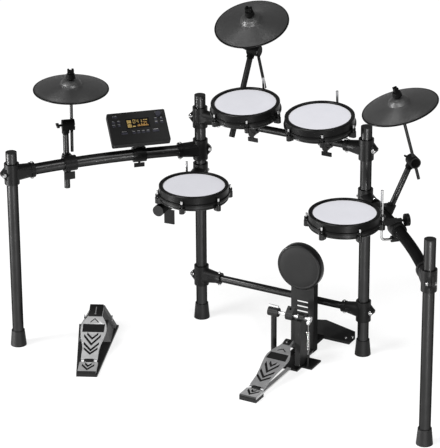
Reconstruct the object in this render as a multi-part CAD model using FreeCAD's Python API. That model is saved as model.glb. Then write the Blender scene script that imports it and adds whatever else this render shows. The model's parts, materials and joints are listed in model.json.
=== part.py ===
import FreeCAD
import Part
import math
import os

# Electronic drum kit on a four-post rack: four mesh drums, three cymbal pads, a sound module,
# a kick tower with its pedal, and a hi-hat pedal. Millimetres and degrees, Z up.
# X runs along the two inner posts, the player sits on the -Y side.
# Everything is laid out from the floor point midway between the inner posts, and moved back by
# rack_setback at the end so that the origin is under the middle of the kit.

V = FreeCAD.Vector
UP = V(0, 0, 1)
ACROSS = V(1, 0, 0)
BACK = V(0, 1, 0)

rack_setback = 187.4

# Rack tubes
post_r = 19.0
arm_r = 19.0
rail_r = 12.5
tube_wall = 1.6
inner_post_x = 311.0
outer_post_x = 760.0
outer_post_y = -483.0
inner_post_top = 827.5
upper_rail_drop = 79.0
left_arm_drop = 195.5
right_arm_drop = 256.5
snare_arm_drop = 282.5
outer_post_over = 76.0
lower_rail_z = 162.5
arm_splay = 6.8
arm_straight = 96.0
upper_rail_z = inner_post_top - upper_rail_drop
left_arm_z = inner_post_top - left_arm_drop
right_arm_z = inner_post_top - right_arm_drop
snare_arm_z = inner_post_top - snare_arm_drop
outer_post_top = left_arm_z + outer_post_over
snare_arm_turn = 6.0
snare_arm_reach = 360.0

# Post feet and caps
foot_h = 55.0
foot_top_r = 22.5
foot_bottom_r = 27.5
foot_floor = 6.0
cap_t = 3.0
plug_h = 14.0

# Clearances
seat_gap = 0.15
swing_gap = 0.3
bearing_gap = 0.08

# How far fused pieces run into each other, and how far a cut runs past a face
lap = 1.0

# Tee clamps
sleeve_r = 25.5
sleeve_h = 72.0
socket_root_r = 29.0
socket_reach = 78.0
socket_w = 46.0
socket_lip = 4.0
socket_collar = 3.5
socket_collar_w = 14.0
bar_start = 31.0
ear_root = 15.3
ear_reach = 38.0
ear_h = 58.0
ear_tip = 8.0
ear_w = 24.0
slit_w = 2.0

# Bar clamps
clamp_wall = 7.0
clamp_len = 44.0
wing_bolt_r = 4.0
wing_bolt_len = 8.0
wing_w = 36.0
wing_h = 14.0
wing_t = 5.0
bridge_len = 35.2

# Drums
shell_r = 113.0
shell_neck_step = 3.5
shell_base_step = 23.0
head_inset = 1.0
head_t = 1.5
hoop_lap = 6.0
hoop_proud = 2.5
hoop_up = 5.0
hoop_down = 16.0
hoop_skirt = 4.0
hoop_round = 2.0
hoop_flange = 4.0
hoop_flange_top = 19.0
hoop_flange_fall = 2.0
hoop_flange_bottom = 27.0
hoop_flange_gap = 0.5
shell_neck_down = 19.0
shell_side_down = 39.0
shell_depth = 52.0
shell_turn = 6.0
shell_wall = 4.5
shell_floor = 3.0
lug_count = 6
lug_proud = 8.5
lug_r = 9.0
lug_top = 31.0
lug_bottom = 50.0
lug_floor = 6.0
hoop_ear_r = 7.8
hoop_ear_top = 19.0
tension_rod_r = 3.0
tension_head_r = 3.8
tension_head_h = 12.0
bracket_proud = 18.0
bracket_r = 12.0
bracket_top = 30.0
bracket_bottom = 46.0
jack_r = 7.0
jack_bore_r = 3.2
jack_proud = 4.0
jack_down = 36.0
jack_turn = 38.0
sensor_base_r = 28.0
sensor_base_t = 3.0
sensor_post_r = 9.0
sensor_top = 22.0
foam_base_r = 24.0
foam_tip_r = 10.0
shell_neck_r = shell_r - shell_neck_step
shell_base_r = shell_r - shell_base_step
head_r = shell_neck_r - head_inset
hoop_in_r = head_r - hoop_lap
hoop_r = shell_r + hoop_proud
hoop_flange_r = hoop_r + hoop_flange
hoop_flange_in_r = shell_r + hoop_flange_gap
lug_ring_r = shell_r + lug_proud
bracket_reach = shell_r + bracket_proud

# Drum rods: a vertical leg through the drum's bracket, a bend and a leg into the bar clamp
l_rod_r = 4.75
l_rod_bend = 14.0
boss_r = 11.0
boss_past = 8.0
boss_floor = 3.0
tom_1_x = -111.0
tom_space = 14.5
tom_2_x = tom_1_x + 2 * (lug_ring_r + lug_r) + tom_space
tom_forward = 40.6
tom_rise = 106.5
tom_tilt = 5.0
tom_boss_drop = 24.5
tom_rod_proud = 36.0
snare_rod_along = 181.0
snare_clamp_along = 268.0
snare_rod_aside = 27.0
snare_rise = 79.0
snare_bracket_angle = 129.5
snare_rod_proud = 33.0
snare_wing_h = 50.0
snare_boss_r = 10.0
snare_boss_floor = 4.4
snare_lug_turn = 40.0
floor_clamp_along = 266.0
floor_rod_inside = 53.0
floor_boss_drop = 33.0
floor_rise = 84.0
floor_bracket_angle = 50.0
floor_rod_proud = 57.0
floor_knob_r = 20.5
floor_knob_t = 13.0
floor_ear_rise = 28.0
floor_ear_r = 9.0
floor_ear_len = 28.0
floor_boss_over = 9.0
floor_neck_low = 8.0
floor_cast_w = 14.4
floor_knob_gap = 12.0
floor_lug_turn = -40.0

# Cymbal pads
cymbal_r = 127.0
cymbal_rim_t = 4.0
cymbal_skin = 5.0
bow_h = 20.0
bell_r = 37.0
bell_step = 4.0
bell_h = 37.0
bell_top_r = 15.0
bell_top_t = 3.0
bell_edge = 1.0
bell_slope_in = 11.0
bell_shoulder = 4.0
bell_under_in = 13.0
bell_foot_in = 4.0
bow_under = 2.0
cymbal_lip = 4.0
collar_h = 12.0
rock_clear = 0.6
felt_r = 11.0
felt_t = 5.0
felt_gap = 1.7
nut_r = 16.5
nut_h = 14.0
nut_taper = 3.0
nut_roof = 4.0
nut_wing_h = 16.0
nut_wing_w = 21.0
nut_wing_t = 14.0
nut_notch_w = 8.0
nut_notch_h = 4.0

# Cymbal stands
stand_r = 10.0
stand_wall = 1.5
stand_aside = 31.0
ride_aside = 34.0
stand_holder_wall = 5.0
boom_r = 5.2
tilter_r = 19.0
tilter_half = 11.0
tilter_back = 12.0
tilter_boom_t = 19.0
tilter_neck_r = 13.0
tilter_neck = 28.0
tilter_bolt = 10.0
tilter_wing_h = 9.8
tilter_wing_in = 4.0
tilter_pin = 4.75
tilter_pin_gap = 0.95
boom_side = 21.0
hihat_along = 456.0
hihat_wing_h = 26.0
hihat_stand_low = 100.0
hihat_stand_high = 126.0
hihat_side = 40.0
hihat_tilt = 2.6
hihat_tilt_heading = -45.0
hihat_boom_up = 126.5
hihat_boom_down = 98.0
crash_x = -191.0
crash_lean = 28.7
crash_stand_low = 60.0
crash_stand_high = 242.0
crash_tilt = 20.5
crash_boom_up = 112.0
crash_boom_down = 161.0
ride_along = 116.0
ride_lean = 23.5
ride_lean_heading = 42.0
ride_stand_low = 40.0
ride_stand_high = 184.0
ride_tilt = 15.2
ride_tilt_heading = 226.0
ride_boom_up = 203.0
ride_boom_down = 62.0

# Sound module
module_along = 212.0
module_w = 200.0
module_h = 126.0
module_t = 24.0
module_slope = 36.0
module_turn = 42.5
module_wall = 2.5
module_round = 5.0
module_chamfer = 3.0
module_panel_t = 3.0
module_rise = 98.0
pivot_r = 3.0
pivot_lug_r = 9.0
pivot_lug_clear = 2.0
pivot_ear_r = 8.0
pivot_ear_foot = 10.0
pivot_rise = arm_r + clamp_wall + pivot_lug_r + pivot_lug_clear
pivot_lug_w = 20.0
pivot_ear_w = 8.0
screen_w = 82.0
screen_h = 40.0
screen_x = 0.5
screen_top = 26.7
screen_recess = 1.2
button_proud = 2.2
button_depth = 5.0
button_gap = 0.4
key_w = 10.0
key_h = 6.0
key_left_edge = 18.0
key_right_edge = 17.0
key_inner_edge = 36.0
key_upper_top = 38.0
key_lower_top = 52.0
power_key_w = 18.0
power_key_h = 6.0
power_key_edge = 26.0
power_key_top = 17.0
wide_key_w = 22.0
wide_key_h = 8.0
wide_key_left_edge = 48.0
wide_key_right_edge = 44.0
wide_key_top = 83.0
row_key_count = 4
row_key_h = 7.0
row_key_gap = 5.0
row_key_top = 84.0
row_key_shift = 3.0
row_key_ends = 2.75
knob_edge = 26.0
knob_top = 21.0
knob_r = 9.0
knob_h = 12.0
knob_shaft_r = 3.0
board_t = 1.6
board_margin = 9.0
board_post_r = 4.0
board_post_in = 6.0
board_depth = 16.0

# Kick tower
kick_x = 118.0
kick_front = -73.0
kick_plate_w = 86.0
kick_plate_t = 3.0
kick_plate_h = 352.0
kick_flange = 30.0
kick_slot_w = 41.0
kick_slot_h = 6.0
kick_slot_pitch = 18.0
kick_slot_z = 128.0
kick_slot_count = 4
kick_pad_r = 81.0
kick_pad_t = 30.0
kick_pad_z = 320.0
kick_pad_round = 4.0
kick_spine_w = 50.0
kick_spine_h = 12.0
kick_lip_w = 56.0
kick_lip_reach = 34.0
kick_foot_near = 40.0
kick_foot_far = 88.0
kick_foot_span = 220.0
kick_foot_aside = 12.0
kick_foot_lip = 10.0
kick_foot_mid_h = 49.0
kick_foot_end_h = 29.0

# Pedals: each has its own frame, origin under the heel's front edge, Y towards the toe
kick_pedal_x = 131.0
kick_pedal_y = -492.0
kick_pedal_turn = 0.0
hihat_pedal_x = -426.0
hihat_pedal_y = -587.0
hihat_pedal_turn = 24.8
heel_w = 62.0
heel_back = 8.0
heel_block_h = 12.0
heel_plate_t = 8.0
heel_bevel_w = 16.0
heel_bevel_t = 5.0
hinge_z = 20.0
hinge_r = 5.0
hinge_pin_r = 2.5
knuckle_w = 19.0
knuckle_gap = 0.4
hinge_half = 26.6
board_slope = 16.4
pedal_board_start = 7.0
pedal_board_under = 3.0
pedal_board_over = 5.0
kick_board_len = 248.0
kick_hinge_y = 62.0
hihat_board_len = 278.0
hihat_hinge_y = 78.0

# Footboard outlines as (half width, distance back from the toe), heel first
kick_board_half = (
    (27.0, 195.0), (31.3, 162.0), (37.6, 129.0), (41.2, 102.0), (41.4, 86.0),
    (36.0, 67.0), (26.8, 48.0), (19.5, 35.0), (16.0, 25.0), (15.4, 9.4),
)
hihat_board_half = (
    (28.0, 222.0), (32.0, 195.0), (38.2, 164.0), (43.4, 134.0), (44.0, 117.0), (42.0, 102.0),
    (35.4, 82.0), (27.0, 64.0), (23.6, 55.0), (23.4, 10.6),
)

# Kick pedal frame
frame_base_t = 6.0
frame_base_half = 83.0
frame_base_step_x = 46.0
frame_base_step_y = 300.0
frame_base_near = 266.0
frame_base_far = 371.0
frame_tongue_half = 34.0
frame_tongue_far = 383.0
frame_jaw_near = 374.0
frame_jaw_far = 412.0
frame_jaw_t = 8.0
tie_w = 15.0
tie_t = 5.0
tie_lap = 8.0
tie_x = 16.0
tie_low = 4.0
axle_y = 324.0
axle_z = 173.0
axle_r = 6.0
axle_left = -93.0
axle_right = 59.0
left_column_x = -72.0
left_column_r = 9.75
left_bearing_r = 16.0
left_bearing_w = 36.0
column_wing_rise = 3.5
column_wing_h = 9.0
right_column_near = 24.0
right_column_far = 44.0
right_column_foot = 72.0
right_column_top = 62.0
right_column_shift = 4.0
right_bearing_r = 15.0
hub_x = -10.0
hub_w = 26.0
hub_r = 17.0
beater_bore_r = 4.0
beater_bore_back = 15.0
hub_block_back = 25.0
hub_lean = 40.0
lever_w = 8.0
lever_x = 63.0
lever_reach = 12.0
lever_drop = 10.0
lever_r = 5.0
lever_boss = 4.0
strap_x = 7.0
strap_w = 6.0
strap_t = 3.0
strap_top_back = 20.0

# Kick pedal spring
spring_wire_r = 1.0
spring_coil_r = 4.6
spring_pitch = 3.4
spring_turns = 19
spring_low = 66.0
spring_hook = 11.0
spring_tail = 8.0
tension_r = 3.0
tension_nut_r = 5.0
tension_nut_h = 6.0

# Hi-hat pedal base
base_t = 8.0
base_half_heel = 35.0
base_half_toe = 69.0
base_len = 386.0
housing_near = 357.0
housing_top_half = 22.0
housing_foot_half = 63.0
housing_h = 82.0
hip_near = 250.0
hip_run = 24.0
hip_h = 40.0
hip_foot_half = 56.0
hip_top_half = 38.0


def at_angle(degrees, length=1.0):
    """A level vector at an angle from +X."""
    return V(math.cos(math.radians(degrees)) * length, math.sin(math.radians(degrees)) * length, 0)


def rod(start, end, radius):
    """A solid round bar between two points."""
    axis = end.sub(start)
    return Part.makeCylinder(radius, axis.Length, start, axis)


def pipe(start, end, outer, inner):
    """A round tube between two points."""
    return rod(start, end, outer).cut(rod(start, end, inner))


def slab(centre, x_dir, z_dir, size):
    """A block centred on a point, its X and Z edges along two directions."""
    y_dir = z_dir.cross(x_dir)
    block = Part.makeBox(size[0], size[1], size[2], V(-size[0] / 2, -size[1] / 2, -size[2] / 2))
    return placed(block, frame(centre, x_dir, y_dir, z_dir))


def frame(origin, x_dir, y_dir, z_dir):
    """A placement with the given axes."""
    return FreeCAD.Placement(origin, FreeCAD.Rotation(x_dir, y_dir, z_dir, "ZXY"))


def placed(shape, place):
    """A copy of a shape carried into a frame."""
    copy = shape.copy()
    copy.Placement = place.multiply(copy.Placement)
    return copy


def turned(points):
    """A solid of revolution about Z from a closed outline of (radius, height)."""
    outline = [V(r, 0, z) for r, z in points]
    face = Part.Face(Part.makePolygon(outline + [outline[0]]))
    return face.revolve(V(0, 0, 0), UP, 360)


def prism(points, depth):
    """A straight prism from a closed outline."""
    face = Part.Face(Part.makePolygon(points + [points[0]]))
    return face.extrude(depth)


def joined(shapes):
    """One solid from touching or crossing shapes."""
    return shapes[0].multiFuse(shapes[1:]).removeSplitter()


def tilted(shape, point, axis, degrees):
    """A copy turned about a line."""
    copy = shape.copy()
    copy.rotate(point, axis, degrees)
    return copy


def save(name, *shapes):
    """Write one node, its solids moved to the kit's own origin."""
    shape = shapes[0] if len(shapes) == 1 else Part.makeCompound(list(shapes))
    moved = shape.copy()
    moved.translate(V(0, rack_setback, 0))
    moved.exportStep("parts/" + name + ".step")
    print(name, len(moved.Solids), "solids", round(moved.Volume / 1000, 1), "cm3", moved.isValid())


# Rack layout

left_inner = V(-inner_post_x, 0, 0)
right_inner = V(inner_post_x, 0, 0)
left_outer = V(-outer_post_x, outer_post_y, 0)
right_outer = V(outer_post_x, outer_post_y, 0)


def arm_layout(inner, outer, height):
    """The plan of a side arm: straight at both posts, an outward arc between."""
    chord = outer.sub(inner)
    along = V(chord).normalize()
    outward = V(-along.y, along.x, 0)
    if outward.y < 0:
        outward = outward.negative()
    splay = math.radians(arm_splay)
    first = along * math.cos(splay) + outward * math.sin(splay)
    last = along * math.cos(splay) - outward * math.sin(splay)
    radius = (chord.Length - 2 * arm_straight * math.cos(splay)) / (2 * math.sin(splay))
    bulge = arm_straight * math.sin(splay) + radius * (1 - math.cos(splay))
    lift = UP * height
    return {
        "start": inner + lift, "end": outer + lift, "along": along, "outward": outward,
        "first": first, "last": last, "radius": radius, "splay": splay,
        "bend_start": inner + lift + first * arm_straight,
        "bend_end": outer + lift - last * arm_straight,
        "crown": (inner + outer) * 0.5 + outward * bulge + lift,
    }


def arm_station(layout, distance):
    """Point, direction and outward normal on a side arm's bend, by distance from the inner post."""
    turn = layout["splay"] - (distance - arm_straight) / layout["radius"]
    along = layout["along"]
    outward = layout["outward"]
    centre = layout["crown"] - outward * layout["radius"]
    normal = outward * math.cos(turn) - along * math.sin(turn)
    direction = along * math.cos(turn) + outward * math.sin(turn)
    return centre + normal * layout["radius"], direction, normal


def arm_tube(layout):
    """The bent tube of a side arm, seated in the clamps at both posts."""
    start = layout["start"] + layout["first"] * bar_start
    end = layout["end"] - layout["last"] * bar_start
    edges = [
        Part.LineSegment(start, layout["bend_start"]).toShape(),
        Part.Arc(layout["bend_start"], layout["crown"], layout["bend_end"]).toShape(),
        Part.LineSegment(layout["bend_end"], end).toShape(),
    ]
    path = Part.Wire(edges)
    walls = []
    for radius in (arm_r, arm_r - tube_wall):
        ring = Part.Wire(Part.makeCircle(radius, start, layout["first"]))
        walls.append(path.makePipeShell([ring], True, False))
    return walls[0].cut(walls[1])


left_arm = arm_layout(left_inner, left_outer, left_arm_z)
right_arm = arm_layout(right_inner, right_outer, right_arm_z)
snare_along = at_angle(-90 + snare_arm_turn)
snare_aside = at_angle(snare_arm_turn)


def post_tube(post, top):
    """One upright, from inside its foot to under its cap."""
    return pipe(post + UP * foot_floor, post + UP * (top - cap_t), post_r, post_r - tube_wall)


def post_foot(post):
    """Rubber foot with a blind bore for the post."""
    body = Part.makeCone(foot_bottom_r, foot_top_r, foot_h, post, UP)
    return body.cut(rod(post + UP * foot_floor, post + UP * (foot_h + lap), post_r + seat_gap))


def post_cap(post, top):
    """Flat cap with a plug inside the tube."""
    lid = rod(post + UP * (top - cap_t), post + UP * top, post_r)
    plug = rod(post + UP * (top - cap_t - plug_h), post + UP * (top - cap_t),
               post_r - tube_wall - seat_gap)
    return lid.fuse(plug)


def tee_clamp(post, height, heading, bar_r, post_gap):
    """A sleeve round a post with a tapered socket for a bar and a split ear behind."""
    middle = V(post.x, post.y, height)
    side = UP.cross(heading)
    sleeve = rod(middle - UP * (sleeve_h / 2), middle + UP * (sleeve_h / 2), sleeve_r)
    taper = Part.makeCone(socket_root_r, bar_r + socket_lip, socket_reach, middle, heading)
    cheek = slab(middle + heading * (socket_reach / 2), heading, UP,
                 (socket_reach, socket_w, 2 * socket_root_r))
    collar = rod(middle + heading * (socket_reach - socket_collar_w), middle + heading * socket_reach,
                 bar_r + socket_lip + socket_collar)
    outline = [
        middle - heading * ear_root + UP * (ear_h / 2),
        middle - heading * ear_reach + UP * (ear_tip / 2),
        middle - heading * ear_reach - UP * (ear_tip / 2),
        middle - heading * ear_root - UP * (ear_h / 2),
    ]
    ear = prism([p - side * (ear_w / 2) for p in outline], side * ear_w)
    body = joined([sleeve, taper.common(cheek), collar, ear])
    bore = rod(middle - UP * sleeve_h, middle + UP * sleeve_h, post_r + post_gap)
    socket = rod(middle + heading * bar_start, middle + heading * (socket_reach + lap),
                 bar_r + seat_gap)
    slit = slab(middle - heading * (ear_reach / 2 + lap), heading, UP,
                (ear_reach + 2 * lap, slit_w, sleeve_h + 2 * lap))
    return body.cut(bore).cut(socket).cut(slit)


def bar_ring(centre, axis, bar_r):
    """The blank of a clamp round a bar; its bore is cut with bar_bore."""
    half = axis * (clamp_len / 2)
    return rod(centre - half, centre + half, bar_r + clamp_wall)


def bar_bore(centre, axis, bar_r, gap):
    half = axis * clamp_len
    return rod(centre - half, centre + half, bar_r + gap)


def wing_bolt(top, down, across, height):
    """A bolt and its wing, hanging from a clamp."""
    shank = rod(top, top + down * wing_bolt_len, wing_bolt_r)
    wing = slab(top + down * (wing_bolt_len + height / 2 - lap), across, down, (wing_w, wing_t, height))
    return shank.fuse(wing)


# Drums


def drum_pieces(bracket_angle, lug_turn):
    """Shell, hoop, head, tension rods and sensor, with the head's centre at the origin."""
    shell_in_r = shell_neck_r - shell_wall
    shell = turned([
        (0, -shell_depth), (shell_base_r, -shell_depth),
        (shell_r - shell_turn, -shell_side_down - shell_turn),
        (shell_r, -shell_side_down), (shell_r, -shell_neck_down), (shell_neck_r, -shell_neck_down),
        (shell_neck_r, -head_t), (shell_in_r, -head_t), (shell_in_r, -shell_side_down),
        (shell_base_r - shell_floor, -shell_depth + shell_floor), (0, -shell_depth + shell_floor),
    ])
    hoop = turned([
        (hoop_in_r, 0), (hoop_in_r, hoop_up - hoop_round), (hoop_in_r + hoop_round, hoop_up),
        (hoop_r - hoop_round, hoop_up), (hoop_r, hoop_up - hoop_round), (hoop_r, -hoop_flange_top),
        (hoop_flange_r, -hoop_flange_top - hoop_flange_fall), (hoop_flange_r, -hoop_flange_bottom),
        (hoop_flange_in_r, -hoop_flange_bottom), (hoop_flange_in_r, -hoop_down),
        (hoop_r - hoop_skirt, -hoop_down), (hoop_r - hoop_skirt, 0),
    ])
    head = rod(V(0, 0, -head_t), V(0, 0, 0), head_r)
    lug_shapes = [shell]
    ear_shapes = [hoop]
    rods = []
    bores = []
    inner = (shell_r + shell_in_r) / 2
    lug_mid = UP * ((lug_top + lug_bottom) / 2)
    for index in range(lug_count):
        turn = lug_turn + index * 360 / lug_count
        spot = at_angle(turn, lug_ring_r)
        lug_shapes.append(rod(spot - UP * lug_bottom, spot - UP * lug_top, lug_r))
        lug_shapes.append(slab(at_angle(turn, (inner + lug_ring_r) / 2) - lug_mid, at_angle(turn), UP,
                               (lug_ring_r - inner, 2 * lug_r, lug_bottom - lug_top)))
        ear_shapes.append(rod(spot - UP * hoop_flange_bottom, spot - UP * hoop_ear_top, hoop_ear_r))
        foot = spot - UP * (lug_bottom - lug_floor)
        stem = rod(foot, spot - UP * hoop_ear_top, tension_rod_r)
        top = rod(spot - UP * hoop_ear_top, spot - UP * (hoop_ear_top - tension_head_h), tension_head_r)
        rods.append(stem.fuse(top))
        bores.append(rod(foot, spot, tension_rod_r + seat_gap))
    reach = at_angle(bracket_angle, bracket_reach)
    side = at_angle(bracket_angle)
    bracket_mid = (bracket_top + bracket_bottom) / 2
    bracket_h = bracket_bottom - bracket_top
    neck = slab(side * ((inner + bracket_reach) / 2) - UP * bracket_mid, side, UP,
                (bracket_reach - inner, 2 * bracket_r, bracket_h))
    knuckle = rod(reach - UP * bracket_bottom, reach - UP * bracket_top, bracket_r)
    jack_side = at_angle(bracket_angle + jack_turn)
    jack_level = UP * -jack_down
    jack_tip = shell_r + jack_proud
    jack = rod(jack_side * inner + jack_level, jack_side * jack_tip + jack_level, jack_r)
    jack_bore = rod(jack_side * (inner - shell_wall) + jack_level, jack_side * (jack_tip + lap) + jack_level,
                    jack_bore_r)
    shell = joined(lug_shapes + [neck, knuckle, jack])
    shell = shell.cut(Part.makeCompound(bores + [jack_bore]))
    shell = shell.cut(rod(reach - UP * shell_depth, reach, l_rod_r + seat_gap))
    hoop = joined(ear_shapes).cut(Part.makeCompound(bores))
    floor = V(0, 0, -shell_depth + shell_floor)
    base = rod(floor, floor + UP * sensor_base_t, sensor_base_r)
    post = rod(floor, V(0, 0, -sensor_top), sensor_post_r)
    foam = Part.makeCone(foam_base_r, foam_tip_r, sensor_top - head_t, V(0, 0, -sensor_top), UP)
    return {"shell": [shell], "hoop": [hoop], "head": [head], "rods": rods,
            "trigger": [base.fuse(post), foam]}


def l_rod(top, corner, end):
    """A bent rod: down from the top, round the corner, out to its end."""
    rise = V(top.sub(corner)).normalize()
    run = V(end.sub(corner)).normalize()
    start_bend = corner + rise * l_rod_bend
    end_bend = corner + run * l_rod_bend
    centre = corner + rise * l_rod_bend + run * l_rod_bend
    crown = centre - (rise + run) * (l_rod_bend / math.sqrt(2))
    path = Part.Wire([
        Part.LineSegment(top, start_bend).toShape(),
        Part.Arc(start_bend, crown, end_bend).toShape(),
        Part.LineSegment(end_bend, end).toShape(),
    ])
    ring = Part.Wire(Part.makeCircle(l_rod_r, top, rise))
    return path.makePipeShell([ring], True, False)


def save_drum(name, centre, bracket_angle, lug_turn, rods, clamp, tilt=None):
    """Write the nodes of one drum: its own pieces, its bent rod and its clamp."""
    pieces = drum_pieces(bracket_angle, lug_turn)
    for key in pieces:
        pieces[key] = [placed(s, FreeCAD.Placement(centre, FreeCAD.Rotation())) for s in pieces[key]]
    pieces["rods"] = pieces["rods"] + rods
    pieces["clamp"] = [clamp]
    for key, shapes in pieces.items():
        if tilt:
            shapes = [tilted(s, tilt[0], tilt[1], tilt[2]) for s in shapes]
        save(name + "_" + key, *shapes)


def tom(name, x):
    """A tom on the upper rail, built level and then tilted about the rail."""
    rail = V(x, 0, upper_rail_z)
    centre = rail - BACK * tom_forward + UP * tom_rise
    leg = centre + BACK * bracket_reach
    boss_z = upper_rail_z - tom_boss_drop
    boss_back = rail_r + clamp_wall + boss_past
    rod_end = V(x, boss_floor - boss_r, boss_z)
    corner = V(leg.x, leg.y, boss_z)
    bent = l_rod(leg + UP * tom_rod_proud, corner, rod_end)
    boss = rod(V(x, -boss_r, boss_z), V(x, boss_back, boss_z), boss_r)
    wing = wing_bolt(V(x, 0, boss_z - boss_r + lap), UP.negative(), ACROSS, wing_h)
    clamp = joined([bar_ring(rail, ACROSS, rail_r), boss, wing])
    clamp = clamp.cut(bar_bore(rail, ACROSS, rail_r, swing_gap))
    clamp = clamp.cut(rod(rod_end, V(x, boss_back + lap, boss_z), l_rod_r + seat_gap))
    save_drum(name, centre, 90, 0, [bent], clamp, (rail, ACROSS, tom_tilt))


def snare():
    """The snare pad on its own arm, which points to the player."""
    arm = left_inner + UP * snare_arm_z
    leg = arm + snare_along * snare_rod_along + snare_aside * snare_rod_aside
    centre = leg - at_angle(snare_bracket_angle, bracket_reach) + UP * snare_rise
    ring_at = arm + snare_along * snare_clamp_along
    boss_at = ring_at + snare_aside * snare_rod_aside
    half = snare_along * (clamp_len / 2)
    rod_end = boss_at + half - snare_along * snare_boss_floor
    bent = l_rod(leg + UP * (snare_rise + snare_rod_proud), leg, rod_end)
    boss = rod(boss_at - half, boss_at + half, snare_boss_r)
    wing = wing_bolt(ring_at - UP * (arm_r + clamp_wall - lap), UP.negative(), snare_aside, snare_wing_h)
    clamp = joined([bar_ring(ring_at, snare_along, arm_r), boss, wing])
    clamp = clamp.cut(bar_bore(ring_at, snare_along, arm_r, swing_gap))
    clamp = clamp.cut(rod(boss_at - half - snare_along * lap, rod_end, l_rod_r + seat_gap))
    save_drum("snare", centre, snare_bracket_angle, snare_lug_turn, [bent], clamp)


def floor_tom():
    """The floor tom on the right side arm, with its big hand knob."""
    ring_at, along, outward = arm_station(right_arm, floor_clamp_along)
    leg = ring_at - outward * floor_rod_inside - UP * floor_boss_drop
    centre = leg - at_angle(floor_bracket_angle, bracket_reach) + UP * (floor_boss_drop + floor_rise)
    boss_at = ring_at - UP * floor_boss_drop
    boss_in = boss_at - outward * (boss_r + floor_boss_over)
    boss_out = boss_at + outward * (boss_r + floor_boss_over)
    bent = l_rod(leg + UP * (floor_boss_drop + floor_rise + floor_rod_proud), leg, boss_at + outward * boss_r)
    boss = rod(boss_in, boss_out, boss_r)
    ear_at = ring_at + UP * floor_ear_rise
    ear_out = ear_at + outward * (floor_ear_len / 2)
    ear = rod(ear_at - outward * (floor_ear_len / 2), ear_out, floor_ear_r)
    neck = slab(ring_at + UP * ((floor_ear_rise + floor_neck_low) / 2), outward, UP,
                (floor_ear_len, 2 * floor_ear_r, floor_ear_rise - floor_neck_low))
    grip = leg + UP * (floor_boss_drop + floor_ear_rise)
    cast = slab((grip + ear_at) * 0.5, outward, UP, (floor_rod_inside, floor_cast_w, 2 * floor_ear_r))
    eye = rod(grip - UP * floor_ear_r, grip + UP * floor_ear_r, boss_r)
    knob_in = ear_out + outward * floor_knob_gap
    shank = rod(ear_out - outward * lap, knob_in, wing_bolt_r)
    knob = rod(knob_in, knob_in + outward * floor_knob_t, floor_knob_r)
    clamp = joined([bar_ring(ring_at, along, arm_r), boss, ear, neck, cast, eye, shank, knob])
    clamp = clamp.cut(bar_bore(ring_at, along, arm_r, swing_gap))
    clamp = clamp.cut(rod(boss_in - outward * lap, boss_at + outward * boss_r, l_rod_r + seat_gap))
    clamp = clamp.cut(rod(grip - UP * floor_ear_rise, grip + UP * floor_ear_rise, l_rod_r + seat_gap))
    save_drum("floor_tom", centre, floor_bracket_angle, floor_lug_turn, [bent], clamp)


# Cymbals


def cymbal_pad():
    """A rubber pad with a low bow and a raised bell, its rim plane at the origin."""
    hole = boom_r + rock_clear
    pad = turned([
        (cymbal_r, 0), (cymbal_r, cymbal_rim_t), (bell_r + bell_edge, bow_h),
        (bell_r - bell_edge, bow_h + bell_step), (bell_r - bell_slope_in, bell_h - bell_shoulder),
        (bell_top_r, bell_h), (hole, bell_h), (hole, bell_h - bell_top_t),
        (bell_top_r, bell_h - bell_top_t), (bell_r - bell_under_in, bell_h - bell_shoulder - cymbal_skin),
        (bell_r - bell_foot_in, bow_h - bow_under), (bell_r, bow_h - cymbal_skin), (cymbal_r - cymbal_lip, 0),
    ])
    return pad


def wing_nut():
    """A felt washer and a tall nut with two wings, standing on the bell."""
    low = bell_h + felt_gap
    felt = rod(UP * low, UP * (low + felt_t), felt_r)
    body = Part.makeCone(nut_r, nut_r - nut_taper, nut_h, UP * (low + felt_t), UP)
    wing_low = low + felt_t + nut_h
    wing = slab(UP * (wing_low + nut_wing_h / 2), ACROSS, UP, (nut_wing_w, nut_wing_t, nut_wing_h))
    notch = slab(UP * (wing_low + nut_wing_h - nut_notch_h / 2), ACROSS, UP,
                 (nut_notch_w, nut_wing_t + 2 * lap, nut_notch_h))
    top = wing_low + nut_wing_h - nut_notch_h - nut_roof
    bore = rod(UP * (low - lap), UP * top, boom_r + seat_gap)
    return joined([felt, body, wing.cut(notch)]).cut(bore), top


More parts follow.
